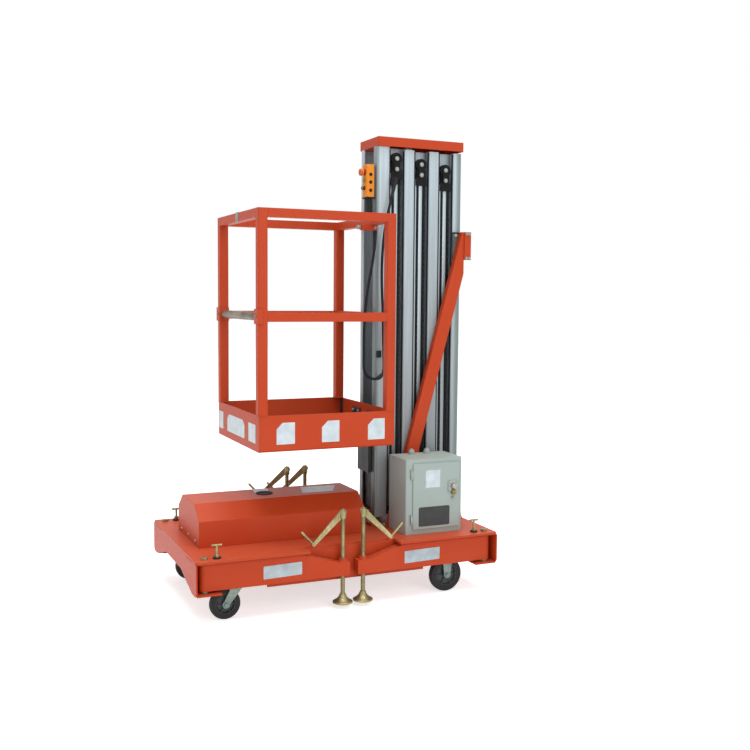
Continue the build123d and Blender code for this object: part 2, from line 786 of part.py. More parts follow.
def outrigger_beam(end, side):
    """Beam along one long side; end is -1 for the left half and 1 for the right half."""
    r = beam_thickness / 2
    end_top = beam_bottom + beam_end_height
    outline = [
        (end * pivot_x, beam_bottom), (end * pivot_x, beam_top), (end * beam_taper_x0, beam_top),
        (end * beam_taper_x1, end_top), (beam_tip(end), end_top), (beam_tip(end), beam_bottom),
    ]
    y = side * beam_y
    inset = [row[3] for row in jacks if (row[1], row[2]) == (end, side)][0]
    x = jack_x(end, inset)
    body = plate_xz(outline, y - r, y + r) + post(end * pivot_x, y, beam_bottom, beam_top, r)
    body = body + post(x, y, end_top - 1, end_top + nut_tube_rise, nut_tube_radius)
    body = body - post(end * pivot_x, y, 0, 2 * beam_top, pivot_bolt_radius + running_gap)
    return body - post(x, y, 0, 2 * beam_top, screw_radius + running_gap)


def crank(x, y, top, turn):
    """Drooping crank arm and its handle, turned about the screw."""
    angle = math.degrees(math.atan2(crank_drop, crank_reach))
    ends = Circle(crank_hub_radius) + Pos(crank_reach, -crank_drop) * Circle(crank_end_radius)
    arm = plate_xz(make_hull(ends.edges()), -crank_thickness / 2, crank_thickness / 2)
    hub = post(0, 0, -crank_hub_drop, crank_hub_drop / 3, screw_radius + crank_thickness / 2)
    grip = Pos(crank_reach, 0, -crank_drop) * Rot(0, angle, 0) * Pos(0, 0, handle_length / 2) * \
        Cylinder(handle_radius, handle_length)
    return Pos(x, y, top) * Rot(0, 0, turn) * (arm + hub + grip)


def jack_foot():
    """Bell-shaped foot on the origin, with a flat rim and a hollow sweep up to the screw."""
    rim, neck = (foot_radius, foot_rim), (foot_neck, foot_height)
    middle = (foot_neck + (foot_radius - foot_neck) * foot_sweep,
              foot_rim + (foot_height - foot_rim) * foot_sweep)
    outline = [Line((0, 0), (foot_radius, 0)), Line((foot_radius, 0), rim), ThreePointArc(rim, middle, neck),
               Line(neck, (0, foot_height)), Line((0, foot_height), (0, 0))]
    return revolve(Plane.XZ * make_face(Curve() + outline), Axis.Z)


def jack(row):
    name, end, side, inset, lift, turn = row
    x, y = jack_x(end, inset), side * beam_y
    bottom, top = foot_bottom + lift, crank_z + lift
    screw = post(x, y, bottom + foot_height - 1, top - crank_hub_drop + 1, screw_radius)
    return Pos(x, y, bottom) * jack_foot() + screw + crank(x, y, top, turn)


def swivel_crown():
    return 2 * swivel_wheel_radius + fork_crown_gap


def castor_fork(x_axle, radius, crown_z0, crown_z1, x_crown, side):
    """Pressed fork: crown plate, two tapering legs with round eyes, axle and its nuts."""
    y = side * castor_y
    inner = wheel_width / 2 + wheel_clearance
    outer = inner + fork_thickness
    crown = rectangle(x_crown - fork_crown_half, x_crown + fork_crown_half, y - outer, y + outer, fork_thickness)
    parts = [upright(crown, crown_z0, crown_z1), rod_y(x_axle, radius, y - outer, y + outer, axle_radius)]
    leg = make_face(Polyline((x_crown - fork_leg_half, crown_z0 + 1), (x_crown + fork_leg_half, crown_z0 + 1),
                             (x_axle + fork_eye_radius, radius), (x_axle - fork_eye_radius, radius), close=True))
    leg = leg + Pos(x_axle, radius) * Circle(fork_eye_radius)
    for s in (-1, 1):
        parts.append(plate_xz(leg, y + s * inner, y + s * outer))
        nut = Pos(x_axle, y + s * outer, radius) * Rot(s * -90, 0, 0) * hexagon(axle_nut_across, axle_nut_height)
        parts.append(nut)
    return fuse(parts)


def swivel_fork(side):
    crown = swivel_crown()
    fork = castor_fork(swivel_x - swivel_trail, swivel_wheel_radius, crown, crown + fork_thickness, swivel_x, side)
    top = side_wall_bottom + plate + fork_thickness
    return fork + post(swivel_x, side * castor_y, crown + fork_thickness - 1, top, kingpin_radius)


def fixed_fork(side):
    crown = 2 * fixed_wheel_radius + fork_crown_gap
    return castor_fork(fixed_x, fixed_wheel_radius, crown, side_wall_bottom, fixed_x, side)


def wheel(x, radius, side):
    """Plain tyred wheel with chamfered shoulders, bored for its axle."""
    w, bore = wheel_width / 2, axle_radius + running_gap
    profile = [(bore, -w), (radius - tyre_shoulder, -w), (radius, tyre_shoulder - w),
               (radius, w - tyre_shoulder), (radius - tyre_shoulder, w), (bore, w)]
    solid = revolve(Plane.XZ * make_face(Polyline(*profile, close=True)), Axis.Z)
    return Pos(x, side * castor_y, radius) * Rot(90, 0, 0) * solid


def pivot_bolts():
    """Bolt, washer, head and nut that each outrigger turns on, in one piece through the corner plate."""
    bolts = []
    for end in (-1, 1):
        for side in (-1, 1):
            x, y = end * pivot_x, side * beam_y
            washer_top = beam_bottom - running_gap
            shank = post(x, y, lobe_bottom + plate, frame_top, pivot_bolt_radius)
            washer = post(x, y, lobe_bottom + plate, washer_top, pivot_bolt_radius + pivot_washer_rim)
            head = Pos(x, y, deck_top) * hexagon(bolt_head_across, bolt_head_height)
            nut = Pos(x, y, lobe_bottom - bolt_head_height) * hexagon(bolt_head_across, bolt_head_height)
            bolts += [shank + washer, head, nut]
    return bolts


def lock_pins():
    """T-handled pin on the deck over each outrigger."""
    pins = []
    x0 = pivot_x - lock_pin_inset
    for end in (-1, 1):
        for side in (-1, 1):
            x, y = end * x0, side * beam_y
            collar = Pos(x, y, deck_top) * hexagon(4 * lock_pin_radius, 4 * lock_pin_radius)
            stem = post(x, y, deck_top, deck_top + lock_pin_height, lock_pin_radius)
            grip = rod_x(y, deck_top + lock_pin_height, x - lock_pin_grip / 2, x + lock_pin_grip / 2,
                         lock_pin_radius)
            pins.append(collar + stem + grip)
    return pins


def write(name, shapes):
    if not isinstance(shapes, (list, tuple)):
        shapes = [shapes]
    solids = []
    for shape in shapes:
        solids += list(shape.solids())
    item = solids[0] if len(solids) == 1 else Compound(children=solids)
    export_step(item, "parts/%s.step" % name)
    print(name, len(solids), round(sum(s.volume for s in solids) / 1000), "cm3")


def main():
    os.makedirs("parts", exist_ok=True)
    write("chassis_frame", chassis_frame())
    write("castor_mounts", castor_mounts())
    write("chassis_deck", chassis_deck())
    write("power_cover", power_cover())
    write("cover_plug", cover_plug())
    write("power_unit", power_unit())
    write("cabinet_body", cabinet_body())
    write("cabinet_door", cabinet_door())
    write("mast_foot", mast_foot())
    write("mast_brace_front", brace(-1))
    write("mast_brace_rear", brace(1))
    write("mast_clamp", mast_clamp())
    write("brace_bracket", brace_bracket())
    for index in range(len(section_widths)):
        write("mast_section_%d" % index, mast_section(index))
        if index:
            write("chain_set_%d" % index, chain_set(index))
    write("mast_cap", mast_cap())
    write("cable_clip", cable_clip())
    write("carriage", carriage())
    write("basket_tray", basket_tray())
    write("basket_frame", basket_frame())
    write("entry_bar", entry_bar())
    write("control_station", control_station())
    write("control_cable", control_cable())
    for end, end_name in ((-1, "l"), (1, "r")):
        for side, side_name in ((-1, "f"), (1, "r")):
            name = side_name + end_name
            write("outrigger_beam_" + name, outrigger_beam(end, side))
            if end < 0:
                write("castor_fork_" + name, swivel_fork(side))
                write("wheel_" + name, wheel(swivel_x - swivel_trail, swivel_wheel_radius, side))
            else:
                write("castor_fork_" + name, fixed_fork(side))
                write("wheel_" + name, wheel(fixed_x, fixed_wheel_radius, side))
    for row in jacks:
        write("jack_" + row[0], jack(row))
    write("pivot_bolts", pivot_bolts())
    write("lock_pins", lock_pins())


main()
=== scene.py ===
import math

import bmesh
import bpy
from mathutils import Matrix, Vector


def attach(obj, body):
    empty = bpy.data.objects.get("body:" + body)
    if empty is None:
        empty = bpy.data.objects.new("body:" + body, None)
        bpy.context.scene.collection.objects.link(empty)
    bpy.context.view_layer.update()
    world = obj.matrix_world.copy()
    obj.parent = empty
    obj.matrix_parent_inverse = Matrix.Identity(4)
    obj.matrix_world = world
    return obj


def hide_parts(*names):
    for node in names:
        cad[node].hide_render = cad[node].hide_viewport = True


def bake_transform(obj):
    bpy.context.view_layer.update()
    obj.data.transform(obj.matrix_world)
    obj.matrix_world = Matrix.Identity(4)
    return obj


# Push-around lift: a single mast of four aluminium extrusions, a one-person platform, a pump under a
# steel cover, four swing-out outriggers with screw jacks, two swivel castors at the left end and two
# fixed wheels under the mast. Pieces are drawn in millimetres. The camera, the cable, the lamps and
# the distances in materials are in metres.
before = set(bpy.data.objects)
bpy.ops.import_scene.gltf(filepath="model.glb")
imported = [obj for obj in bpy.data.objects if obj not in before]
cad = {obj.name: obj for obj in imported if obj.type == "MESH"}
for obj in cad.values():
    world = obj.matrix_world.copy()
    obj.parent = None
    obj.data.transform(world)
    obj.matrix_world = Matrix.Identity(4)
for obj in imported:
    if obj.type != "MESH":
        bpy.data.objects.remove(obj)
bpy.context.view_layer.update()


# The viewpoint: off the front left corner, as high as the platform's middle rail, looking a little
# down through a lens of 47 mm on 36 mm film. The focal length is written in pixels of the picture.
yaw, pitch, roll = (math.radians(angle) for angle in (24.096, 4.502, 0.452))
focal_pixels, picture_side = 974.79, 750
ahead = Vector((math.sin(yaw) * math.cos(pitch), math.cos(yaw) * math.cos(pitch), -math.sin(pitch)))
level = Vector((math.cos(yaw), -math.sin(yaw), 0))
across = level * math.cos(roll) + level.cross(ahead) * math.sin(roll)
aloft = level.cross(ahead) * math.cos(roll) - level * math.sin(roll)
camera = bpy.data.objects.new("camera", bpy.data.cameras.new("camera"))
camera.data.sensor_width = 36.0
camera.data.lens = 36.0 * focal_pixels / picture_side
camera.data.clip_end = 60
facing = Matrix((across, aloft, -ahead)).transposed().to_4x4()
camera.matrix_world = Matrix.Translation((-1.5418, -4.015, 1.2791)) @ facing
bpy.context.scene.collection.objects.link(camera)
bpy.context.scene.camera = camera


# Chassis: 6 mm steel plate, folded and welded, under a 10 mm deck. It is sprayed with orange-red
# enamel, which gives a fairly glossy coat with a fine orange peel, faded in patches, thinner on
# its edges and chipped there to the steel, and dusty where it faces up.
def tint(code):
    """An sRGB hex colour as the linear values that a shader takes."""
    parts = [int(code[i:i + 2], 16) / 255 for i in (0, 2, 4)]
    return [p / 12.92 if p <= 0.04045 else ((p + 0.055) / 1.055) ** 2.4 for p in parts] + [1.0]


def per_mm(size):
    """The scale at which a pattern's features are that many millimetres across."""
    return 1000.0 / size


def add(tree, kind, settings={}, links={}):
    """A shader node with its settings, by property name or socket, and what feeds its sockets."""
    made = tree.nodes.new("ShaderNode" + kind)
    for key, value in settings.items():
        if isinstance(key, str) and key.islower():
            setattr(made, key, value)
        else:
            made.inputs[key].default_value = value
    for key, source in links.items():
        tree.links.new(source, made.inputs[key])
    return made.outputs[0]


def mixed(tree, factor, first, second):
    """One colour or output turning into another as the factor goes from 0 to 1."""
    settings, links = {"data_type": "RGBA"}, {0: factor}
    for socket, colour in ((6, first), (7, second)):
        if isinstance(colour, str):
            settings[socket] = tint(colour)
        else:
            links[socket] = colour
    add(tree, "Mix", settings, links)
    return tree.nodes[-1].outputs[2]


def ramp(tree, source, low, high, out_low=0.0, out_high=1.0):
    """The source spread from one range onto another, and held at its ends."""
    return add(tree, "MapRange", {1: low, 2: high, 3: out_low, 4: out_high}, {0: source})


def sprayed_enamel(name, coat, faded, bare, gloss=0.42, chips=0.60):
    """Sprayed paint: its coat, where it has faded, what shows where it is chipped, its roughness,
    and how much of its edges is left whole."""
    finish = bpy.data.materials.new(name)
    finish.use_nodes = True
    tree = finish.node_tree
    shader = tree.nodes["Principled BSDF"]
    add(tree, "TexCoord")
    where = tree.nodes[-1].outputs["Object"]
    # The sun fades it in patches the size of a hand, and dust lies in finer ones
    patches = add(tree, "TexNoise", {"Scale": per_mm(190), "Detail": 3.0}, {"Vector": where})
    specks = add(tree, "TexNoise", {"Scale": per_mm(9), "Detail": 4.0}, {"Vector": where})
    colour = mixed(tree, ramp(tree, patches, 0.35, 0.75, 0.0, 0.55), coat, faded)
    # An edge is where the rounded normal turns away from the face's own
    rounded = add(tree, "Bevel", {"samples": 4, "Radius": 0.003})
    add(tree, "NewGeometry")
    flat = tree.nodes[-1].outputs["Normal"]
    add(tree, "VectorMath", {"operation": "DOT_PRODUCT"}, {0: rounded, 1: flat})
    edge = ramp(tree, tree.nodes[-1].outputs["Value"], 0.995, 0.86)
    thin = add(tree, "Math", {"operation": "MULTIPLY", 1: 0.5}, {0: edge})
    colour = mixed(tree, thin, colour, faded)
    chip = add(tree, "Math", {"operation": "MULTIPLY"},
               {0: edge, 1: ramp(tree, specks, chips, chips + 0.06)})
    colour = mixed(tree, chip, colour, bare)
    add(tree, "SeparateXYZ", {}, {0: flat})
    up = ramp(tree, tree.nodes[-1].outputs["Z"], 0.75, 1.0)
    dust = add(tree, "Math", {"operation": "MULTIPLY"},
               {0: up, 1: ramp(tree, specks, 0.4, 0.8, 0.02, 0.22)})
    colour = mixed(tree, dust, colour, "C7A98C")
    tree.links.new(colour, shader.inputs["Base Color"])
    tree.links.new(ramp(tree, specks, 0.3, 0.8, gloss - 0.05, gloss + 0.16), shader.inputs["Roughness"])
    # Orange peel is 1 to 3 mm across on the real coat, drawn at 7 mm so that it shows
    peel = add(tree, "TexNoise", {"Scale": per_mm(7), "Detail": 2.0}, {"Vector": where})
    bump = add(tree, "Bump", {"Strength": 0.12, "Distance": 0.001}, {"Height": peel, "Normal": rounded})
    tree.links.new(bump, shader.inputs["Normal"])
    shader.inputs["IOR"].default_value = 1.5
    shader.inputs["Specular IOR Level"].default_value = 0.2
    return finish


def dress(finish, *names):
    """Gives CAD nodes their finish."""
    for name in names:
        cad[name].data.materials.clear()
        cad[name].data.materials.append(finish)


orange_enamel = sprayed_enamel("orange_enamel_on_steel", "BA3F19", "BF4726", "4A3C34")
dress(orange_enamel, "chassis_frame", "chassis_deck", "castor_mounts")


def place(name, shape, finish, body, smooth=35):
    """Closes a shape drawn in millimetres, turns it to metres and fixes it to its body. Edges that
    turn by less than that many degrees are shaded smooth."""
    bmesh.ops.remove_doubles(shape, verts=shape.verts, dist=0.001)
    bmesh.ops.recalc_face_normals(shape, faces=shape.faces)
    bmesh.ops.scale(shape, vec=(0.001, 0.001, 0.001), verts=shape.verts)
    for face in shape.faces:
        face.smooth = True
    for edge in shape.edges:
        edge.smooth = len(edge.link_faces) == 2 and edge.calc_face_angle(0) < math.radians(smooth)
    mesh = bpy.data.meshes.new(name)
    shape.to_mesh(mesh)
    shape.free()
    mesh.materials.append(finish)
    made = bpy.data.objects.new(name, mesh)
    bpy.context.scene.collection.objects.link(made)
    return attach(made, body)


def aim(centre, axis):
    """Where a part drawn upright on the origin goes."""
    lean = Vector((0, 0, 1)).rotation_difference(Vector(axis))
    return Matrix.Translation(centre) @ lean.to_matrix().to_4x4()


def turned(shape, profile, centre, axis, steps=32):
    """A part turned on a lathe: pairs of radius and distance along the axis, spun round it."""
    line = [shape.verts.new(aim(centre, axis) @ Vector((radius, 0, along))) for radius, along in profile]
    edges = [shape.edges.new(pair) for pair in zip(line, line[1:])]
    bmesh.ops.spin(shape, geom=line + edges, cent=centre, axis=Vector(axis).normalized(), dvec=(0, 0, 0),
                   angle=math.tau, steps=steps, use_merge=True, use_duplicate=False)


def bead(shape, start, end, radius):
    """A weld bead between two points, in ripples of 4 mm."""
    start, end = Vector(start), Vector(end)
    length = (end - start).length
    ripples = max(2, int(length / 4))
    profile = [(0, 0)]
    for step in range(ripples):
        profile += [(radius * 0.8, (step + 0.15) * length / ripples),
                    (radius, (step + 0.6) * length / ripples)]
    turned(shape, profile + [(0, length)], start, end - start, 8)


# Beads join the deck to the side walls in the notches for the cranks, and to the end walls
deck_top, wall_side, wall_end = 262, 320, 668
shape = bmesh.new()
for side in (-1, 1):
    bead(shape, (-192, side * wall_side, 251.5), (192, side * wall_side, 251.5), 4.2)
    for x in (-wall_end, wall_end):
        bead(shape, (x, side * 330, 251), (x, side * 250, 251), 2.2)
place("deck_welds", shape, orange_enamel, "chassis")


# Pivot bolts and lock pins: turned and forged steel with yellow-passivated zinc, which gives a dull
# straw colour with greenish and brown clouds. Each outrigger turns on its bolt, and the pin with the
# T-handle drops through a rubber bush in the deck and locks it in or out.
def plain_surface(name, bright, dull, rough, grain, metallic=1.0, stretch=(1, 1, 1), depth=0.0004,
                  shine=0.5):
    """Metal, rubber or plastic with no coat on it: its two tones, its roughness, the size in
    millimetres of its grain, and the depth in metres of that grain."""
    finish = bpy.data.materials.new(name)
    finish.use_nodes = True
    tree = finish.node_tree
    shader = tree.nodes["Principled BSDF"]
    add(tree, "TexCoord")
    spread = add(tree, "Mapping", {"Scale": stretch}, {"Vector": tree.nodes[-1].outputs["Object"]})
    fine = add(tree, "TexNoise", {"Scale": per_mm(grain), "Detail": 4.0}, {"Vector": spread})
    broad = add(tree, "TexNoise", {"Scale": per_mm(grain * 14), "Detail": 3.0}, {"Vector": spread})
    both = add(tree, "Math", {"operation": "ADD"}, {0: fine, 1: broad})
    tree.links.new(mixed(tree, ramp(tree, both, 0.75, 1.3), bright, dull), shader.inputs["Base Color"])
    tree.links.new(ramp(tree, both, 0.7, 1.3, rough - 0.08, rough + 0.12), shader.inputs["Roughness"])
    rounded = add(tree, "Bevel", {"samples": 4, "Radius": 0.0012})
    bump = add(tree, "Bump", {"Strength": 0.25, "Distance": depth}, {"Height": fine, "Normal": rounded})
    tree.links.new(bump, shader.inputs["Normal"])
    shader.inputs["Metallic"].default_value = metallic
    shader.inputs["Specular IOR Level"].default_value = shine
    return finish


lock_pin_x, beam_y = 575, 355
yellow_zinc = plain_surface("yellow_passivated_zinc_on_steel", "ABA27A", "756C48", 0.40, 5, 0.85)
dress(yellow_zinc, "pivot_bolts", "lock_pins")

# Moulded rubber, near black and matt
black_rubber = plain_surface("moulded_black_rubber", "141416", "202124", 0.62, 3, metallic=0.0, shine=0.3)
bush = [(9, 0), (15.5, 0), (16, 1), (16, 4.5), (14.5, 6.5), (9, 6.5), (9, 0)]
shape = bmesh.new()
for x in (-lock_pin_x, lock_pin_x):
    for y in (-beam_y, beam_y):
        turned(shape, [(radius, deck_top + along) for radius, along in bush], (x, y, 0), (0, 0, 1), 24)
place("lock_pin_bushes", shape, black_rubber, "chassis")


# Power cover: 2 mm steel sheet with sloping shoulders, sprayed like the chassis and held by button
# screws along its foot. A black rubber plug closes the hole in its ridge, the rear has pressed
# louvres, and two blank foil plates are stuck on the ridge. The pump under it is painted grey.
def block(shape, low, high, edge=0.0, rounds=2, swing=Matrix()):
    """A block between two corners, swung to its place, with its edges rounded."""
    low, high = Vector(low), Vector(high)
    made = bmesh.ops.create_cube(shape, size=1.0)["verts"]
    bmesh.ops.scale(shape, vec=high - low, verts=made)
    bmesh.ops.transform(shape, matrix=swing @ Matrix.Translation((low + high) / 2), verts=made)
    if edge:
        edges = list({e for v in made for e in v.link_edges})
        bmesh.ops.bevel(shape, geom=edges, offset=edge, segments=rounds, profile=0.5,
                        affect="EDGES", material=-1)


dress(orange_enamel, "power_cover")
dress(black_rubber, "cover_plug")
pump_paint = plain_surface("grey_painted_pump_steel", "6C7072", "565A5C", 0.5, 6, metallic=0.0)
dress(pump_paint, "power_unit")

# Bright zinc that has gone cloudy, a pale grey with a soft gleam
zinc_steel = plain_surface("cloudy_zinc_on_steel", "A3A8A2", "7B807A", 0.42, 4, 0.85)
button_head = [(0, 4), (3.5, 3.6), (6, 2), (6.5, 0), (0, 0)]
shape = bmesh.new()
for x in (-560, -400, -240, -80, 85):
    turned(shape, button_head, (x, 183, 275), (0, 1, 0), 16)
for y in (-120, 0, 120):
    turned(shape, button_head, (-603, y, 280), (-1, 0, 0), 16)
    turned(shape, button_head, (128, y, 280), (1, 0, 0), 16)
place("cover_screws", shape, zinc_steel, "chassis")

louvre_length, louvre_spacing = 150, 11
shape = bmesh.new()
for row in range(6):
    foot = 290 + louvre_spacing * row
    for x in (-330, -90):
        block(shape, (x, 180, foot), (x + louvre_length, 186, foot + 6), 2.6, 3)
place("cover_louvres", shape, orange_enamel, "chassis")


def plate(shape, corners, thickness, radius=0.0, rounds=3):
    """A thin plate on its corners, with its thickness as a vector and its corners rounded."""
    verts = [shape.verts.new(corner) for corner in corners]
    face = shape.faces.new(verts)
    if radius:
        rounded = bmesh.ops.bevel(shape, geom=verts, offset=radius, segments=rounds, profile=0.5,
                                  affect="VERTICES", material=-1)
        face = rounded["verts"][0].link_faces[0]
    first = list(face.verts)
    made = bmesh.ops.extrude_face_region(shape, geom=[face])["geom"]
    moved = [v for v in made if isinstance(v, bmesh.types.BMVert)]
    bmesh.ops.translate(shape, vec=thickness, verts=moved)
    return first + moved


def foil(name, face, edge_tone):
    """Brushed aluminium foil under clear lacquer, a little grubby, with nothing printed on it."""
    finish = bpy.data.materials.new(name)
    finish.use_nodes = True
    tree = finish.node_tree
    shader = tree.nodes["Principled BSDF"]
    add(tree, "TexCoord")
    where = tree.nodes[-1].outputs["Object"]
    smears = add(tree, "TexNoise", {"Scale": per_mm(35), "Detail": 4.0}, {"Vector": where})
    grain = add(tree, "TexNoise", {"Scale": per_mm(3), "Detail": 2.0}, {"Vector": where})
    tree.links.new(mixed(tree, ramp(tree, smears, 0.35, 0.7), face, edge_tone), shader.inputs["Base Color"])
    tree.links.new(ramp(tree, grain, 0.3, 0.7, 0.28, 0.44), shader.inputs["Roughness"])
    bump = add(tree, "Bump", {"Strength": 0.1, "Distance": 0.0002}, {"Height": smears})
    tree.links.new(bump, shader.inputs["Normal"])
    shader.inputs["Metallic"].default_value = 0.15
    return finish


ridge_top = 430
grey_foil = foil("grey_foil_plate", "AEBCC3", "98A3AA")
shape = bmesh.new()
beside_plug = [(-311, -36), (-308, -8), (-303, 20), (-290, 40), (-238, 40), (-222, 103), (-296, 103)]
by_the_mast = [(-114, -56), (27, -60), (86, 60), (-77, 70)]
for corners in (beside_plug, by_the_mast):
    plate(shape, [(x, y, ridge_top) for x, y in corners], (0, 0, 0.6))
place("cover_foil_plates", shape, grey_foil, "chassis")


# Outrigger beams: box section cut from plate and sprayed like the chassis, with a welded nut tube at
# the inner end for the jack. Each front beam carries a blank pale foil plate.
corner_names = ("fl", "fr", "rl", "rr")
jack_spots = {"fl": (-44, -beam_y), "fr": (47, -beam_y), "rl": (-44, beam_y), "rr": (47, beam_y)}
beam_face, nut_tube_top = -377, 197
dress(orange_enamel, *[f"outrigger_beam_{corner}" for corner in corner_names])
for corner, left, right in (("fl", -392, -230), ("fr", 229, 395)):
    shape = bmesh.new()
    # The plates are stuck on a little out of level
    corners = [(left, beam_face, 163), (right, beam_face, 167),
               (right, beam_face, 219), (left, beam_face, 215)]
    plate(shape, corners, (0, -0.6, 0), 3)
    place("beam_foil_plate_" + corner, shape, grey_foil, "outrigger_" + corner)
tube_weld = [(17, 0), (21.5, 0), (20.5, 2.5), (17, 4.5), (17, 0)]
for corner in corner_names:
    shape = bmesh.new()
    turned(shape, [(radius, nut_tube_top + along) for radius, along in tube_weld],
           (*jack_spots[corner], 0), (0, 0, 1), 24)
    place("nut_tube_weld_" + corner, shape, orange_enamel, "outrigger_" + corner)


# Screw jacks: a trapezoidal thread of 4 mm pitch on a 19 mm bar, a pressed bell foot that swivels on
# its end, and a flat crank arm with a round handle, all in the yellow zinc of the pins.
def screw_thread(shape, centre, low, high, core, crest, pitch, steps=12):
    """A helical thread between two heights: one turn's profile carried up and round."""
    profile = [(core, 0), (crest, 0.2 * pitch), (crest, 0.5 * pitch), (core, 0.7 * pitch), (core, pitch)]
    line = [shape.verts.new((centre[0] + radius, centre[1], low + along)) for radius, along in profile]
    edges = [shape.edges.new(pair) for pair in zip(line, line[1:])]
    turns = int((high - low) / pitch) - 1
    bmesh.ops.spin(shape, geom=line + edges, cent=(*centre, 0), axis=(0, 0, 1), dvec=(0, 0, pitch / steps),
                   angle=math.tau * turns, steps=steps * turns, use_merge=False, use_duplicate=False)


def crank_arm(shape, hub, turn):
    """The arm with its round ends and its handle, drooping from the hub the way that it is turned."""
    hub, up = Vector(hub), Vector((0, 0, 1))
    out = Vector((math.cos(math.radians(turn)), math.sin(math.radians(turn)), 0))
    side = up.cross(out)
    reach, droop, half_thick = 128, 122, 3
    end = hub + reach * out - droop * up
    for radius, spot in ((15, hub), (8, end)):
        turned(shape, [(0, -3.5), (radius, -3.5), (radius + 0.5, 0), (radius, 3.5), (0, 3.5)],
               spot, side, 24)
    edge = 0.69 * up + 0.724 * out
    corners = [hub + 14 * edge, hub - 14 * edge, end - 7.5 * edge, end + 7.5 * edge]
    plate(shape, [corner - half_thick * side for corner in corners], 2 * half_thick * side)
    handle = [(0, 0), (5, 0), (5, 12), (5.6, 14), (5.6, 74), (4.5, 77), (0, 77)]
    turned(shape, handle, end, droop * out + reach * up, 16)
    boss = [(0, -24), (12.5, -24), (13, -22), (13, 7), (12, 9), (7, 9.5), (6, 13), (0, 13)]
    turned(shape, boss, hub, up, 24)


bell = [(0, 0), (41, 0), (42, 1.2), (42, 6.2), (41.2, 7.2), (37.2, 9), (32.5, 11.8), (28, 15), (24, 18.5),
        (20, 23), (16.8, 28), (14.4, 33), (13, 36), (0, 36)]
collar = [(0, 36), (11.5, 36), (11.5, 40), (0, 40)]
# How high each foot stands, and the way that its crank points in degrees
for corner, foot, crank_turn in (("fl", 22, 180), ("fr", 22, 0), ("rl", 84, 163), ("rr", 84, 163)):
    spot = jack_spots[corner]
    shape = bmesh.new()
    for profile, steps in ((bell, 40), (collar, 24)):
        turned(shape, [(radius, foot + along) for radius, along in profile], (*spot, 0), (0, 0, 1), steps)
    screw_thread(shape, spot, foot + 34, foot + 358, 8.1, 9.5, 4)
    crank_arm(shape, (*spot, foot + 378), crank_turn)
    jack = place("jack_assembly_" + corner, shape, yellow_zinc, "jack_" + corner)
    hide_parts("jack_" + corner)


# Castors: pressed steel forks in grey zinc, low in gloss, round solid rubber tyres on moulded hubs.
# The tyre is near black and matt, with two shallow grooves and a moulding line. The hub is nylon, dark
# grey with a faint sheen, and has six ribs and a steel bearing tube.
castor_zinc = plain_surface("grey_zinc_on_pressed_steel", "84938C", "67746E", 0.45, 6, 0.45)
dress(castor_zinc, *[f"castor_fork_{corner}" for corner in corner_names])
tyre_rubber = plain_surface("solid_tyre_rubber", "161617", "252427", 0.58, 6, metallic=0.0, shine=0.3)
hub_nylon = plain_surface("dark_grey_moulded_nylon", "232729", "33383A", 0.48, 6, metallic=0.0)
wheel_y = 303
for corner, x, y, radius in (("fl", -530, -wheel_y, 62.5), ("rl", -530, wheel_y, 62.5),
                             ("fr", 462, -wheel_y, 75), ("rr", 462, wheel_y, 75)):
    rim = 0.66 * radius
    half = [(rim, 13.5), (rim + 2, 15.6), (radius - 7, 16), (radius - 3.2, 14.2), (radius - 0.9, 10.5),
            (radius - 0.3, 8), (radius - 1.5, 7.3), (radius - 1.5, 6.1), (radius - 0.1, 5.4), (radius, 0.6)]
    shape = bmesh.new()
    tread = [(r, -along) for r, along in half] + [(r, along) for r, along in reversed(half)]
    turned(shape, tread + [tread[0]], (x, y, radius), (0, 1, 0), 56)
    tyre = place("tyre_" + corner, shape, tyre_rubber, "wheel_" + corner, 25)
    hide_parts("wheel_" + corner)
    shape = bmesh.new()
    web = [(6.5, 16), (13, 16), (15, 14), (16, 7), (rim - 9, 5), (rim - 4, 12), (rim - 2.5, 14.5),
           (rim + 0.5, 14.5)]
    hub = [(r, -along) for r, along in web] + [(r, along) for r, along in reversed(web)]
    turned(shape, hub + [hub[0]], (x, y, radius), (0, 1, 0), 40)
    for rib in range(6):
        swing = Matrix.Translation((x, y, radius)) @ Matrix.Rotation(math.radians(60 * rib), 4, "Y")
        block(shape, (14, -12.5, -2.2), (rim - 4, 12.5, 2.2), 0.8, 2, swing)
    place("wheel_hub_" + corner, shape, hub_nylon, "wheel_" + corner)


# Control cabinet: folded 2 mm steel with a grey-green powder coat, fairly glossy and hardly chipped,
# and a door on two pin hinges. The door has a blank white label in a thin grey frame and a blank
# plate of black anodised foil.
cabinet_paint = sprayed_enamel("grey_green_powder_coat", "A3B1AC", "98A5A1", "5B5F5E", 0.45, 0.68)
dress(cabinet_paint, "cabinet_body", "cabinet_door")
white_label = foil("white_vinyl_label", "C9D4D9", "B4C1C7")
black_plate = foil("black_anodised_plate", "1D1F20", "2A2C2D")
door_face = -308


def on_door(shape, left, right, foot, head, thick, radius):
    """A plate on the door's face."""
    corners = [(left, door_face, foot), (right, door_face, foot),
               (right, door_face, head), (left, door_face, head)]
    plate(shape, corners, (0, -thick, 0), radius)


for name, finish, sizes in (("label_frame", grey_foil, (357, 433, 460, 543, 0.5, 2)),
                            ("label_face", white_label, (361, 429, 464, 539, 0.9, 1)),
                            ("operating_plate", black_plate, (328, 478, 296, 380, 1.0, 7))):
    shape = bmesh.new()
    on_door(shape, *sizes)
    place("door_" + name, shape, finish, "cabinet_door")

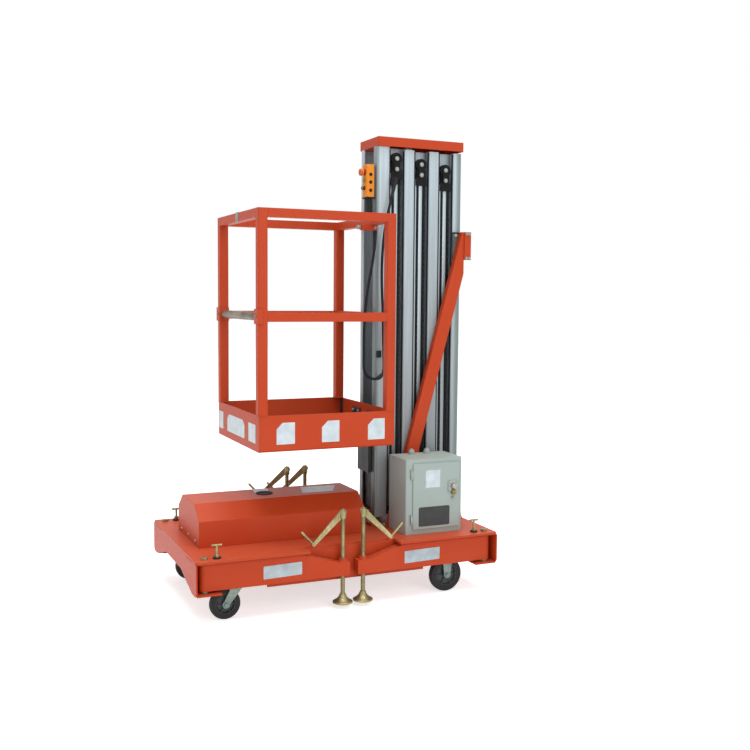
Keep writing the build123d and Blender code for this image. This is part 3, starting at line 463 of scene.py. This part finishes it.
# The latch: a zinc plate with three screws, the knob that turns it, a lock with its slot below, and
# the pins of the two hinges
shape = bmesh.new()
on_door(shape, 470.5, 517.5, 440, 487, 4.5, 6)
for x in (478, 494, 510):
    turned(shape, [(0, 6), (3, 5.4), (4.4, 3.5), (4.4, 0), (0, 0)], (x, -311, 481), (0, -1, 0), 14)
latch_x = 494
turned(shape, [(0, 16), (9, 16), (11.4, 13.5), (11.4, 0), (0, 0)], (latch_x, door_face, 463.5),
       (0, -1, 0), 28)
turned(shape, [(0, 5), (6, 5), (7.2, 4), (7.2, 0), (0, 0)], (latch_x, door_face, 411.5), (0, -1, 0), 20)
block(shape, (493.2, -313.6, 407.5), (494.8, -312, 415.5), 0.2)
hinge_pin = [(0, -15.5), (5, -15.5), (5.2, -14.5), (5.2, 14.5), (5, 15.5), (0, 15.5)]
for z in (329, 526):
    turned(shape, hinge_pin, (293, -308.5, z), (0, 0, 1), 16)
place("door_latch", shape, zinc_steel, "cabinet_door")

# The padlock: cast brass, brown with tarnish, with its shackle through the hasp
brass = plain_surface("tarnished_brass", "9C8450", "6A5633", 0.42, 4)
shape = bmesh.new()
block(shape, (485, -319, 428), (503, -310, 447), 1.6)
for x in (489, 499):
    turned(shape, [(0, 0), (1.7, 0), (1.7, 12), (0, 12)], (x, -314.5, 446), (0, 0, 1), 12)
block(shape, (487.3, -316.2, 456), (500.7, -312.8, 459.4), 1.4)
place("door_padlock", shape, brass, "cabinet_door")


# Two moulded cable glands with hexagon feet, screwed into the roof
def bolt(shape, centre, axis, wrench, height):
    """A hexagon head that size across its flats, on its washer."""
    washer = 0.12 * wrench
    turned(shape, [(0, 0), (0.66 * wrench, 0), (0.66 * wrench, washer), (0, washer)], centre, axis, 20)
    along = Vector(axis).normalized() * (washer + height / 2)
    made = bmesh.ops.create_cone(shape, cap_ends=True, segments=6, radius1=wrench / math.sqrt(3),
                                 radius2=wrench / math.sqrt(3), depth=height,
                                 matrix=aim(Vector(centre) + along, axis))["verts"]
    edges = list({e for v in made for e in v.link_edges})
    bmesh.ops.bevel(shape, geom=edges, offset=0.05 * wrench, segments=1, profile=0.5,
                    affect="EDGES", material=-1)


gland = [(0, 0), (13.4, 0), (13.4, 10), (11.5, 16), (8, 19.5), (5, 20), (5, 24), (0, 24)]
shape = bmesh.new()
for x in (366, 442):
    bolt(shape, (x, -154, 589), (0, 0, 1), 27, 7)
    turned(shape, gland, (x, -154, 589), (0, 0, 1), 24)
place("cabinet_glands", shape, cabinet_paint, "chassis")

# Inside, on a zinc back plate with two rails: three contactors, a slotted duct and a row of terminals
back_plate_face, rail_face = -136, -144.3
shape = bmesh.new()
corners = [(x, back_plate_face, z) for x, z in ((288, 284), (520, 284), (520, 567), (288, 567))]
plate(shape, corners, (0, 2, 0), 4)
for x in (300, 508):
    for z in (296, 555):
        bolt(shape, (x, back_plate_face, z), (0, -1, 0), 8, 4)
        turned(shape, [(0, 0), (6, 0), (6, 3.2), (0, 3.2)], (x, -134.1, z), (0, 1, 0), 16)
for z in (470, 335):
    block(shape, (296, -143.5, z - 13.5), (512, -135.8, z + 13.5), 0.8)
    block(shape, (296, rail_face, z - 17.5), (512, -143.3, z + 17.5), 0.3)
place("cabinet_back_plate", shape, zinc_steel, "chassis")

clamp_screw = [(0, 2.6), (2.4, 2.4), (3.4, 1), (3.4, 0), (0, 0)]
shape = bmesh.new()
for x in (312, 362, 412):
    block(shape, (x, -205, 430), (x + 44, rail_face, 508), 2)
    block(shape, (x + 8, -217, 446), (x + 36, -204.5, 492), 2)
    for step in (0, 12, 24):
        for z in (437, 501):
            turned(shape, clamp_screw, (x + 10 + step, -205, z), (0, -1, 0), 12)
place("cabinet_contactors", shape, hub_nylon, "chassis")

# The duct and the terminals are pale grey polyamide, a plastic with a soft sheen
pale_polyamide = plain_surface("pale_grey_polyamide", "A2A5A1", "8F928E", 0.5, 5, metallic=0.0)
terminal_spacing, duct_tooth_spacing = 9, 12
shape = bmesh.new()
for step in range(22):
    x = 302 + terminal_spacing * step
    block(shape, (x, -180, 318), (x + 8, rail_face, 352), 0.8, 1)
block(shape, (292, -192, 380), (516, -188, 408), 1)
block(shape, (293, -188.5, 385), (515, -135.8, 403), 0.5)
for step in range(19):
    x = 294 + duct_tooth_spacing * step
    block(shape, (x, -188.2, 381), (x + 7, -138, 407), 0.6, 1)
place("cabinet_terminals", shape, pale_polyamide, "chassis")


# Mast: four aluminium extrusions, mill finish, which gives a satin sheen with faint lines along them
# from the die. Black strips at both edges of each recess are painted shade, for the shade in the gap
# there. The sprayed steel cap is bolted down, and the foot is bolted to the deck and to the mast's back.
mast_aluminium = plain_surface("extruded_aluminium", "BECCD3", "9DAAB0", 0.46, 4, 0.3,
                               (1, 1, 0.012), 0.0003)
# Painted shade: the colour is darkened towards the foot, where the light falls off, from nothing at 1.85 m
# to most at 0.35 m
tree = mast_aluminium.node_tree
shader = tree.nodes["Principled BSDF"]
mast_tone = shader.inputs["Base Color"].links[0].from_socket
add(tree, "TexCoord")
add(tree, "SeparateXYZ", {}, {0: tree.nodes[-1].outputs["Object"]})
where = tree.nodes[-1].outputs
painted_foot_shade = ramp(tree, where["Z"], 1.85, 0.35, 0.0, 0.7)
mast_tone = mixed(tree, painted_foot_shade, mast_tone, "6A6763")
# Painted shade: the back's right corner and the front left corner are darkened, as rounded corners turned
# from the light
back_corner_shade = ramp(tree, where["X"], 0.604, 0.619, 0.0, 0.75)
front_corner_shade = ramp(tree, where["X"], 0.230, 0.224, 0.0, 0.6)
front_corner_shade = add(tree, "Math", {"operation": "MULTIPLY"},
                      {0: front_corner_shade, 1: ramp(tree, where["Y"], -0.045, -0.055)})
painted_corner_shade = add(tree, "Math", {"operation": "MAXIMUM"}, {0: back_corner_shade, 1: front_corner_shade})
tree.links.new(mixed(tree, painted_corner_shade, mast_tone, "5F6F69"), shader.inputs["Base Color"])
dress(mast_aluminium, *[f"mast_section_{index}" for index in range(4)])
dress(orange_enamel, "mast_foot", "mast_cap")

# Painted shade: each black strip, let into the section on its own side of the recess, stands for the shade
# in the gap at that edge. It is drawn as nylon, black with a soft sheen
nylon = plain_surface("black_nylon_and_shade_strips", "141517", "1E2022", 0.55, 4, metallic=0.0, shine=0.2)
recess_middles = {1: 557.25, 2: 435.75, 3: 314.25}
recess_half, left_strip, right_strip, strip_foot, strip_head = 35.75, 4.0, 3.5, 322, 1928
for index, middle in recess_middles.items():
    right_body = f"stage_{index - 1}" if index > 1 else "chassis"
    left_edge, right_edge = middle - recess_half, middle + recess_half
    for body, x0, x1 in ((f"stage_{index}", left_edge, left_edge + left_strip),
                         (right_body, right_edge - right_strip, right_edge)):
        shape = bmesh.new()
        for y0, y1 in ((-86, -75), (75, 86)):
            block(shape, (x0, y0, strip_foot), (x1, y1, strip_head), 1.2, 1)
        place(f"recess_shade_strip_{index}_{body}", shape, nylon, body)

# A rib between the two strands of each chain and a ledge beside the left one keep them apart, as
# ridges of the same extrusion that end below the sheave
sheave_heights = {1: 1855, 2: 1873, 3: 1892}
ridge_inner, ridge_foot, ridge_below_sheave = 45, 345, 62
for index, middle in recess_middles.items():
    ridge_head = sheave_heights[index] - ridge_below_sheave
    shape = bmesh.new()
    for side in (-1, 1):
        for x0, x1, outer in ((-9, 9, 75), (-31.5, -20.5, 76)):
            block(shape, (middle + x0, side * ridge_inner, ridge_foot),
                  (middle + x1, side * outer, ridge_head), 1.5, 2)
    place(f"chain_guide_{index}", shape, mast_aluminium, f"stage_{index}")

shape = bmesh.new()
for x in (240, 615):
    for y in (-70, 70):
        bolt(shape, (x, y, 1979.6), (0, 0, -1), 17, 9)
place("cap_fixings", shape, zinc_steel, "stage_3")

shape = bmesh.new()
for y in (-44, 44):
    bolt(shape, (208, y, 272), (0, 0, 1), 11, 5)
    for z in (320, 400, 480):
        bolt(shape, (643, y, z), (1, 0, 0), 15, 7)
place("mast_foot_bolts", shape, zinc_steel, "chassis")


# Lifting chains: leaf chain of 12.7 mm pitch in oiled steel, nearly black with a wet sheen, over a
# flanged sheave at the head of each recess. The cheek plate has two zinc bolts, one in the sheave's
# pin.
chain_steel = plain_surface("oiled_chain_steel", "0E0F10", "18181A", 0.5, 4, 0.2, shine=0.15)
dress(chain_steel, "chain_set_1", "chain_set_2", "chain_set_3")
chain_pitch, sheave_radius, link_thick, chain_foot = 12.7, 15.2, 1.7, 340


def link(shape, spot, lean, reach, thick):
    """One link plate with round ends, leaning that many radians off upright."""
    swing = Matrix.Translation(spot) @ Matrix.Rotation(lean, 4, "Y")
    half = (chain_pitch + reach) / 2
    outline = ((4.8, half), (-4.8, half), (-4.8, -half), (4.8, -half))
    verts = plate(shape, [swing @ Vector((x, -thick / 2, z)) for x, z in outline], (0, thick, 0), 4.4, 2)
    edges = list({e for v in verts for e in v.link_edges})
    return verts + edges + list({f for v in verts for f in v.link_faces})


for index, middle in recess_middles.items():
    sheave = sheave_heights[index]
    shape = bmesh.new()
    for side in (-1, 1):
        for layer in range(2):
            y = side * (78.3 - 3.4 * layer)
            # Every second link of a strand lies in the same layer, carried up from the first
            for strand in (-sheave_radius, sheave_radius):
                first_link = link(shape, (middle + strand, y, chain_foot + chain_pitch * layer), 0.0, 8.8,
                                  link_thick)
                bmesh.ops.spin(shape, geom=first_link, cent=(0, 0, 0), axis=(0, 0, 1),
                               dvec=(0, 0, 2 * chain_pitch), angle=0.0,
                               steps=int((sheave - 350) / (2 * chain_pitch)),
                               use_merge=False, use_duplicate=True)
            for turn_step in range(4):
                lean = math.radians(-67.5 + 45 * turn_step)
                spot = (middle + sheave_radius * math.sin(lean), y, sheave + sheave_radius * math.cos(lean))
                link(shape, spot, lean + math.pi / 2, 6, link_thick)
    place(f"lifting_chain_{index}", shape, chain_steel, f"stage_{index}")
    cheek_face = 85
    thread_end = [(0, 5.2), (2.6, 4.8), (3.6, 3.6), (3.6, 0), (0, 0)]
    shape = bmesh.new()
    for side in (-1, 1):
        for z in (sheave, sheave - 46):
            bolt(shape, (middle, side * cheek_face, z), (0, side, 0), 14.6, 2.0)
            turned(shape, thread_end, (middle, side * cheek_face, z), (0, side, 0), 14)
    place(f"sheave_bolts_{index}", shape, zinc_steel, f"stage_{index}")


# Brace: square tube sprayed orange from the deck to a bracket at the mast's back, with a clamp plate
# of blackened steel between them, dull with a grey wear, bolted through with zinc bolts. Nylon ribs
# run along the head and the foot of the plate.
dress(orange_enamel, "mast_brace_front", "mast_brace_rear", "brace_bracket")
clamp_steel = plain_surface("blackened_clamp_steel", "6A716E", "434846", 0.42, 4, 0.6)
dress(clamp_steel, "mast_clamp")
shape = bmesh.new()
for side in (-1, 1):
    for z in (1463, 1571):
        for x in (645, 659):
            bolt(shape, (x, side * 128, z), (0, side, 0), 11, 5)
    for z in (1566, 1470):
        bolt(shape, (606, side * 94, z), (0, side, 0), 13, 6)
    for x in (255, 342):
        bolt(shape, (x, side * 108, 266), (0, 0, 1), 15, 7)
place("brace_fixings", shape, zinc_steel, "chassis")

shape = bmesh.new()
for side in (-1, 1):
    block(shape, (238, side * 93, deck_top), (360, side * 121.5, deck_top + 5), 1.2)
place("brace_feet", shape, orange_enamel, "chassis")

shape = bmesh.new()
for side in (-1, 1):
    for z in (1455, 1572):
        block(shape, (593.5, side * 88, z), (634.5, side * 96.5, z + 8), 1.2)
place("clamp_ribs", shape, nylon, "chassis")


# Platform: 40 mm square steel tube and a folded toe-board tray, sprayed like the chassis, with weld
# beads where the rails meet the posts and a bare aluminium checker plate on the floor. The toe
# boards carry six blank white vinyl labels, and the carriage below is painted black, low in gloss.
dress(orange_enamel, "basket_tray", "basket_frame")
black_steel = plain_surface("black_painted_steel", "1E1F20", "2C2C2E", 0.48, 6, metallic=0.0, shine=0.3)
dress(black_steel, "carriage")

post_width, toe_board_top = 40, 806
shape = bmesh.new()
for post_x in (-390, 170.5):
    for side in (-1, 1):
        outer, inner = side * 307, side * 267
        for y in (outer, inner):
            bead(shape, (post_x + 4, y, toe_board_top), (post_x + post_width - 4, y, toe_board_top), 1.8)
        for x in (post_x, post_x + post_width):
            bead(shape, (x, min(outer, inner) + 4, toe_board_top),
                 (x, max(outer, inner) - 4, toe_board_top), 1.8)
        # The top and the middle rail of 36 mm meet the post's inner side
        rail_x = post_x + post_width if post_x < 0 else post_x
        for top in (1631.5, 1218):
            for y in (side * 306.4, side * 271):
                bead(shape, (rail_x, y, top - 34), (rail_x, y, top - 2), 1.6)
            bead(shape, (rail_x, side * 273, top - 36), (rail_x, side * 305, top - 36), 1.6)
place("platform_welds", shape, orange_enamel, "platform")

# The floor: rolled aluminium, pale and worn smooth, with raised bars that lean both ways in turn
checker = plain_surface("worn_aluminium_checker_plate", "A8ACAD", "7F8283", 0.38, 7, 0.8)
bar_rows, bar_size, bar_middle = 19, (22, 5.5, 2.4), 664.2
shape = bmesh.new()
block(shape, (-380, -298, 662), (200, 298, 663.6), 0.5, 1)
for row in range(bar_rows):
    for column in range(bar_rows):
        made = bmesh.ops.create_cube(shape, size=1.0)["verts"]
        bmesh.ops.scale(shape, vec=bar_size, verts=made)
        tops = [v for v in made if v.co.z > 0]
        bmesh.ops.scale(shape, vec=(0.55, 0.45, 1), verts=tops)
        slant = Matrix.Rotation(math.radians(45 if (row + column) % 2 else -45), 4, "Z")
        spot = Matrix.Translation((-365 + 30.5 * column, -279 + 31 * row, bar_middle))
        bmesh.ops.transform(shape, matrix=spot @ slant, verts=made)
place("floor_checker_plate", shape, checker, "platform")

# The labels: three on the front toe board with one corner cut, three on the left one
front_face, left_face, cut = -305, -388, 26
shape = bmesh.new()
for x0, x1 in ((-314, -236), (-119, -42), (87, 164)):
    outline = [(x0, 688), (x1, 688), (x1, 776), (x0 + cut, 776), (x0, 776 - cut)]
    plate(shape, [(x, front_face, z) for x, z in outline], (0, -0.5, 0), 2)
for y0, y1 in ((294, 227), (-162, -259)):
    outline = [(y0, 690), (y1, 690), (y1, 766), (y0, 766)]
    plate(shape, [(left_face, y, z) for y, z in outline], (-0.5, 0, 0), 2)
outline = [(159, 690), (-104, 690), (-104, 744), (-78, 766), (133, 766), (159, 744)]
plate(shape, [(left_face, y, z) for y, z in outline], (-0.5, 0, 0), 3)
place("toe_board_labels", shape, white_label, "platform")


# Hook straps: black painted steel inside the right toe board, where the platform's two hooks on the
# carriage end, each strap with two zinc bolts. A third black strip at the rear right post is painted shade,
# for the dark gap in that corner.
strap_face, strap_thick = 200.5, 4.3
straps_and_shade_shape, strap_bolts = bmesh.new(), bmesh.new()
for y0, y1 in ((50, 138), (-108, -30)):
    block(straps_and_shade_shape, (strap_face, y0, 752), (strap_face + strap_thick, y1, 779), 1.2)
    for y in (y0 + 14, y1 - 14):
        bolt(strap_bolts, (200.7, y, 765), (-1, 0, 0), 12, 5)
# Painted shade: the black strip at the rear right post stands for the dark gap in that corner
block(straps_and_shade_shape, (strap_face, 262, 700), (strap_face + strap_thick, 288, 800), 1.2)
place("hook_straps_and_shade_strip", straps_and_shade_shape, black_steel, "platform")
place("hook_strap_bolts", strap_bolts, zinc_steel, "platform")


# Entry bar: a bare steel tube, scuffed and lightly rusted, which gives a warm grey with brown clouds.
# It slides up its posts in sprayed collars, each fixed with one bolt, and a zinc clip sits on the top
# rail above it.
dress(orange_enamel, "entry_bar")
bare_steel = plain_surface("scuffed_bare_steel_tube", "8F887C", "5E4E42", 0.40, 8, 0.8)
bar_height = 1203
shape = bmesh.new()
turned(shape, [(17, -262), (17.4, -261), (17.4, 261), (17, 262), (17, -262)], (-370, 0, bar_height),
       (0, 1, 0), 32)
place("entry_bar_tube", shape, bare_steel, "entry_bar")

shape = bmesh.new()
for side in (-1, 1):
    bolt(shape, (-394.3, side * 287, bar_height), (-1, 0, 0), 10, 3.5)
place("entry_bar_fixings", shape, bare_steel, "entry_bar")

shape = bmesh.new()
block(shape, (-391.6, -28, 1590), (-389.4, 8, 1633.5), 0.6)
block(shape, (-391.6, -28, 1631.3), (-352, 8, 1633.5), 0.6)
turned(shape, [(0, 0), (5.5, 0), (5.5, 3), (4, 5), (0, 5)], (-391.4, -10, 1606), (-1, 0, 0), 16)
place("rail_clip", shape, zinc_steel, "platform")


# Control station: a two-part box of orange plastic, moulded with a fine grain and evenly glossy, on a
# black plastic foot. A red mushroom stop button, a green button and a black switch, glossy mouldings,
# are on its left face, and three black knobs are in front.
station_plastic = sprayed_enamel("orange_moulded_plastic", "E88A1C", "EE9A38", "B06010", 0.4, 0.75)
dress(station_plastic, "control_station")
button_face, button_y, front_y = 170, -60, -85
for name, tone, dull, slot, height, radius, reach in (
        ("stop_button", "B5271F", "8E1C18", "station_plastic", 1826, 15.8, 24.0),
        ("start_button", "2F8A4A", "25693A", "station_plastic", 1792, 9.8, 7.4),
        ("key_switch", "1B1C1E", "2B2D2F", "black_plastic", 1758, 8.8, 15.0)):
    head = [(0, reach), (0.6 * radius, reach - 0.4), (0.93 * radius, reach - 2.5), (radius, reach - 5),
            (radius, reach - 7), (0.72 * radius, max(reach - 13.6, 0)), (0.72 * radius, 0), (0, 0)]
    ring = [(0, 0), (radius * 0.95, 0), (radius * 0.95, 2), (0, 2)]
    shape = bmesh.new()
    turned(shape, head, (button_face, button_y, height), (-1, 0, 0), 32)
    turned(shape, ring, (button_face, button_y, height), (-1, 0, 0), 28)
    glossy = plain_surface(name + "_plastic", tone, dull, 0.34, 6, metallic=0.0)
    place(name, shape, glossy, "platform")

shape = bmesh.new()
for z in (1816, 1783, 1748):
    turned(shape, [(0, 6.5), (3.6, 6.5), (4.6, 5.5), (4.9, 0), (0, 0)], (188.5, front_y, z), (0, -1, 0), 20)
    turned(shape, [(0, 0), (7.5, 0), (7.5, 1.2), (0, 1.2)], (188.5, front_y, z), (0, -1, 0), 24)
block(shape, (169.2, -85.8, 1713), (207.8, -34.2, 1720), 2)
block(shape, (176.6, -78.4, 1631.6), (200.4, -41.6, 1714), 2)
place("station_knobs", shape, nylon, "platform")

box_screw = [(0, 1.6), (2, 1.4), (3, 0.6), (3.1, 0), (0, 0)]
shape = bmesh.new()
for x in (175, 202):
    for z in (1727, 1852):
        turned(shape, box_screw, (x, front_y, z), (0, -1, 0), 12)
place("station_screws", shape, zinc_steel, "platform")


# Control cable: a 12 mm rubber-sheathed lead, black and matt, that hangs in a loop in front of the
# mast. One part leaves the bracket under the top rail, the other the clip on the inner mast section,
# and a moulded coupling joins them near the foot of the loop.
dress(black_rubber, "cable_clip")
cable_sheath = plain_surface("matt_rubber_sheath", "121316", "1B1C20", 0.5, 3, metallic=0.0, shine=0.2)
cable_radius, cable_y = 0.006, -0.116
rail_side, bracket_foot = 0.2105, 1.572
# How far the line of the cable stands right of the rail's side and above the bracket's foot
cable_route = (
    (-0.0145, 0.0), (-0.0145, -0.075), (-0.0285, -0.160), (-0.0475, -0.256), (-0.0585, -0.346),
    (-0.0635, -0.442), (-0.063, -0.542), (-0.0635, -0.6096), (-0.0429, -0.638), (-0.0095, -0.6488),
    (0.0199, -0.638), (0.0345, -0.6096), (0.032, -0.542), (0.0285, -0.442), (0.0265, -0.347),
    (0.0215, -0.262), (0.0195, -0.187), (0.0215, -0.102), (0.0295, -0.012), (0.0465, 0.078),
    (0.0675, 0.158), (0.0845, 0.228),
)
route_curve = bpy.data.curves.new("cable_centreline", "CURVE")
route_curve.dimensions = "3D"
spline = route_curve.splines.new("NURBS")
spline.points.add(len(cable_route) - 1)
for point, (x, z) in zip(spline.points, cable_route):
    point.co = (rail_side + x, cable_y, bracket_foot + z, 1)
spline.order_u = 3
spline.use_endpoint_u = True
spline.resolution_u = 10
route_object = bpy.data.objects.new("cable_centreline", route_curve)
centreline = [v.co.copy() for v in bpy.data.meshes.new_from_object(route_object).vertices]
bpy.data.objects.remove(route_object)
joint_at = min(range(len(centreline)), key=lambda i: centreline[i].z) + 3


def sleeve(name, path, radii, finish):
    """A round sleeve along a path, with its radius at each point of it."""
    curve = bpy.data.curves.new(name, "CURVE")
    curve.dimensions = "3D"
    line = curve.splines.new("POLY")
    line.points.add(len(path) - 1)
    for point, spot, radius in zip(line.points, path, radii):
        point.co, point.radius = (*spot, 1), radius
    curve.bevel_depth, curve.bevel_resolution, curve.use_fill_caps = 1.0, 5, True
    drawn = bpy.data.objects.new(name, curve)
    mesh = bpy.data.meshes.new_from_object(drawn)
    mesh.name = name
    bpy.data.objects.remove(drawn)
    mesh.materials.clear()
    mesh.materials.append(finish)
    mesh.shade_smooth()
    made = bpy.data.objects.new(name, mesh)
    bpy.context.scene.collection.objects.link(made)
    return made


falling, rising = centreline[:joint_at + 1], centreline[joint_at:]
falling_lead = sleeve("cable_lead_falling", falling, [cable_radius] * len(falling), cable_sheath)
rising_lead = sleeve("cable_lead_rising", rising, [cable_radius] * len(rising), cable_sheath)
coupling_path = centreline[joint_at:joint_at + 12]
coupling_radii = [0.0095 - 0.0022 * abs(2 * step / (len(coupling_path) - 1) - 1) ** 3
                  for step in range(len(coupling_path))]
coupling = sleeve("cable_coupling", coupling_path, coupling_radii, black_rubber)
upper_relief = sleeve("bracket_strain_relief", centreline[:8],
                      [0.0098 - 0.0004 * step for step in range(8)], black_rubber)
clip_relief = sleeve("clip_strain_relief", centreline[-8:],
                     [0.0068 + 0.0003 * step for step in range(8)], black_rubber)

# Each lead, the coupling and both strain reliefs have their placement written into their meshes
for soft in (falling_lead, upper_relief):
    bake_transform(soft)
for soft in (rising_lead, coupling, clip_relief):
    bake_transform(soft)
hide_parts("control_cable")

# The bolt and the zinc knob of the bracket that the cable hangs from
knob = [(0, 19), (7, 18.6), (8.8, 17), (8.8, 2), (7.5, 0), (0, 0)]
shape = bmesh.new()
bolt(shape, (190, -131, 1584), (0, -1, 0), 11, 5)
turned(shape, knob, (130, -116, 1583.75), (-1, 0, 0), 24)
place("bracket_fixings", shape, zinc_steel, "platform")


# Studio: a pale floor that keeps the lift's shadow, a white surround, and large soft lamps.
def lamp(name, spot, target, size, watts):
    """A square soft lamp at a spot, aimed at its target."""
    made = bpy.data.objects.new(name, bpy.data.lights.new(name, "AREA"))
    made.data.size, made.data.energy = size, watts
    made.location = spot
    made.rotation_euler = (Vector(target) - Vector(spot)).to_track_quat("-Z", "Y").to_euler()
    bpy.context.scene.collection.objects.link(made)


lamp("lamp_front", (0.6, -5.4, 2.9), (0.1, 0, 0.9), 3.2, 88)
lamp("lamp_left", (-4.6, -1.2, 2.4), (0, 0, 0.9), 3.0, 22)
lamp("lamp_above", (0.0, -0.9, 9.0), (0, 0, 0), 7.0, 680)


def seen_strength(tree, lighting, seen):
    """One strength for the light on the object, and another for what the eye or a gloss sees."""
    add(tree, "LightPath")
    rays = tree.nodes[-1].outputs
    looked_at = add(tree, "Math", {"operation": "MAXIMUM"},
                    {0: rays["Is Camera Ray"], 1: rays["Is Glossy Ray"]})
    looked_at = add(tree, "Math", {"operation": "MAXIMUM"}, {0: looked_at, 1: rays["Is Transmission Ray"]})
    return ramp(tree, looked_at, 0.0, 1.0, lighting, seen)


world = bpy.data.worlds.new("white_surround")
bpy.context.scene.world = world
world.use_nodes = True
background = world.node_tree.nodes["Background"]
background.inputs["Color"].default_value = (1, 1, 1, 1)
world.node_tree.links.new(seen_strength(world.node_tree, 0.45, 1.0), background.inputs["Strength"])

# The floor is matt white paper
floor_shape = bmesh.new()
bmesh.ops.create_grid(floor_shape, x_segments=1, y_segments=1, size=20)
floor_mesh = bpy.data.meshes.new("studio_floor")
floor_shape.to_mesh(floor_mesh)
floor_shape.free()
studio_floor = bpy.data.objects.new("studio_floor", floor_mesh)
bpy.context.scene.collection.objects.link(studio_floor)
paper = bpy.data.materials.new("white_paper_floor")
paper.use_nodes = True
shader = paper.node_tree.nodes["Principled BSDF"]
shader.inputs["Base Color"].default_value = tint("F4F4F4")
shader.inputs["Roughness"].default_value = 0.9
shader.inputs["Emission Color"].default_value = (1, 1, 1, 1)
paper.node_tree.links.new(seen_strength(paper.node_tree, 0.0, 0.62), shader.inputs["Emission Strength"])
floor_mesh.materials.append(paper)

bpy.context.scene.view_settings.view_transform = "Standard"
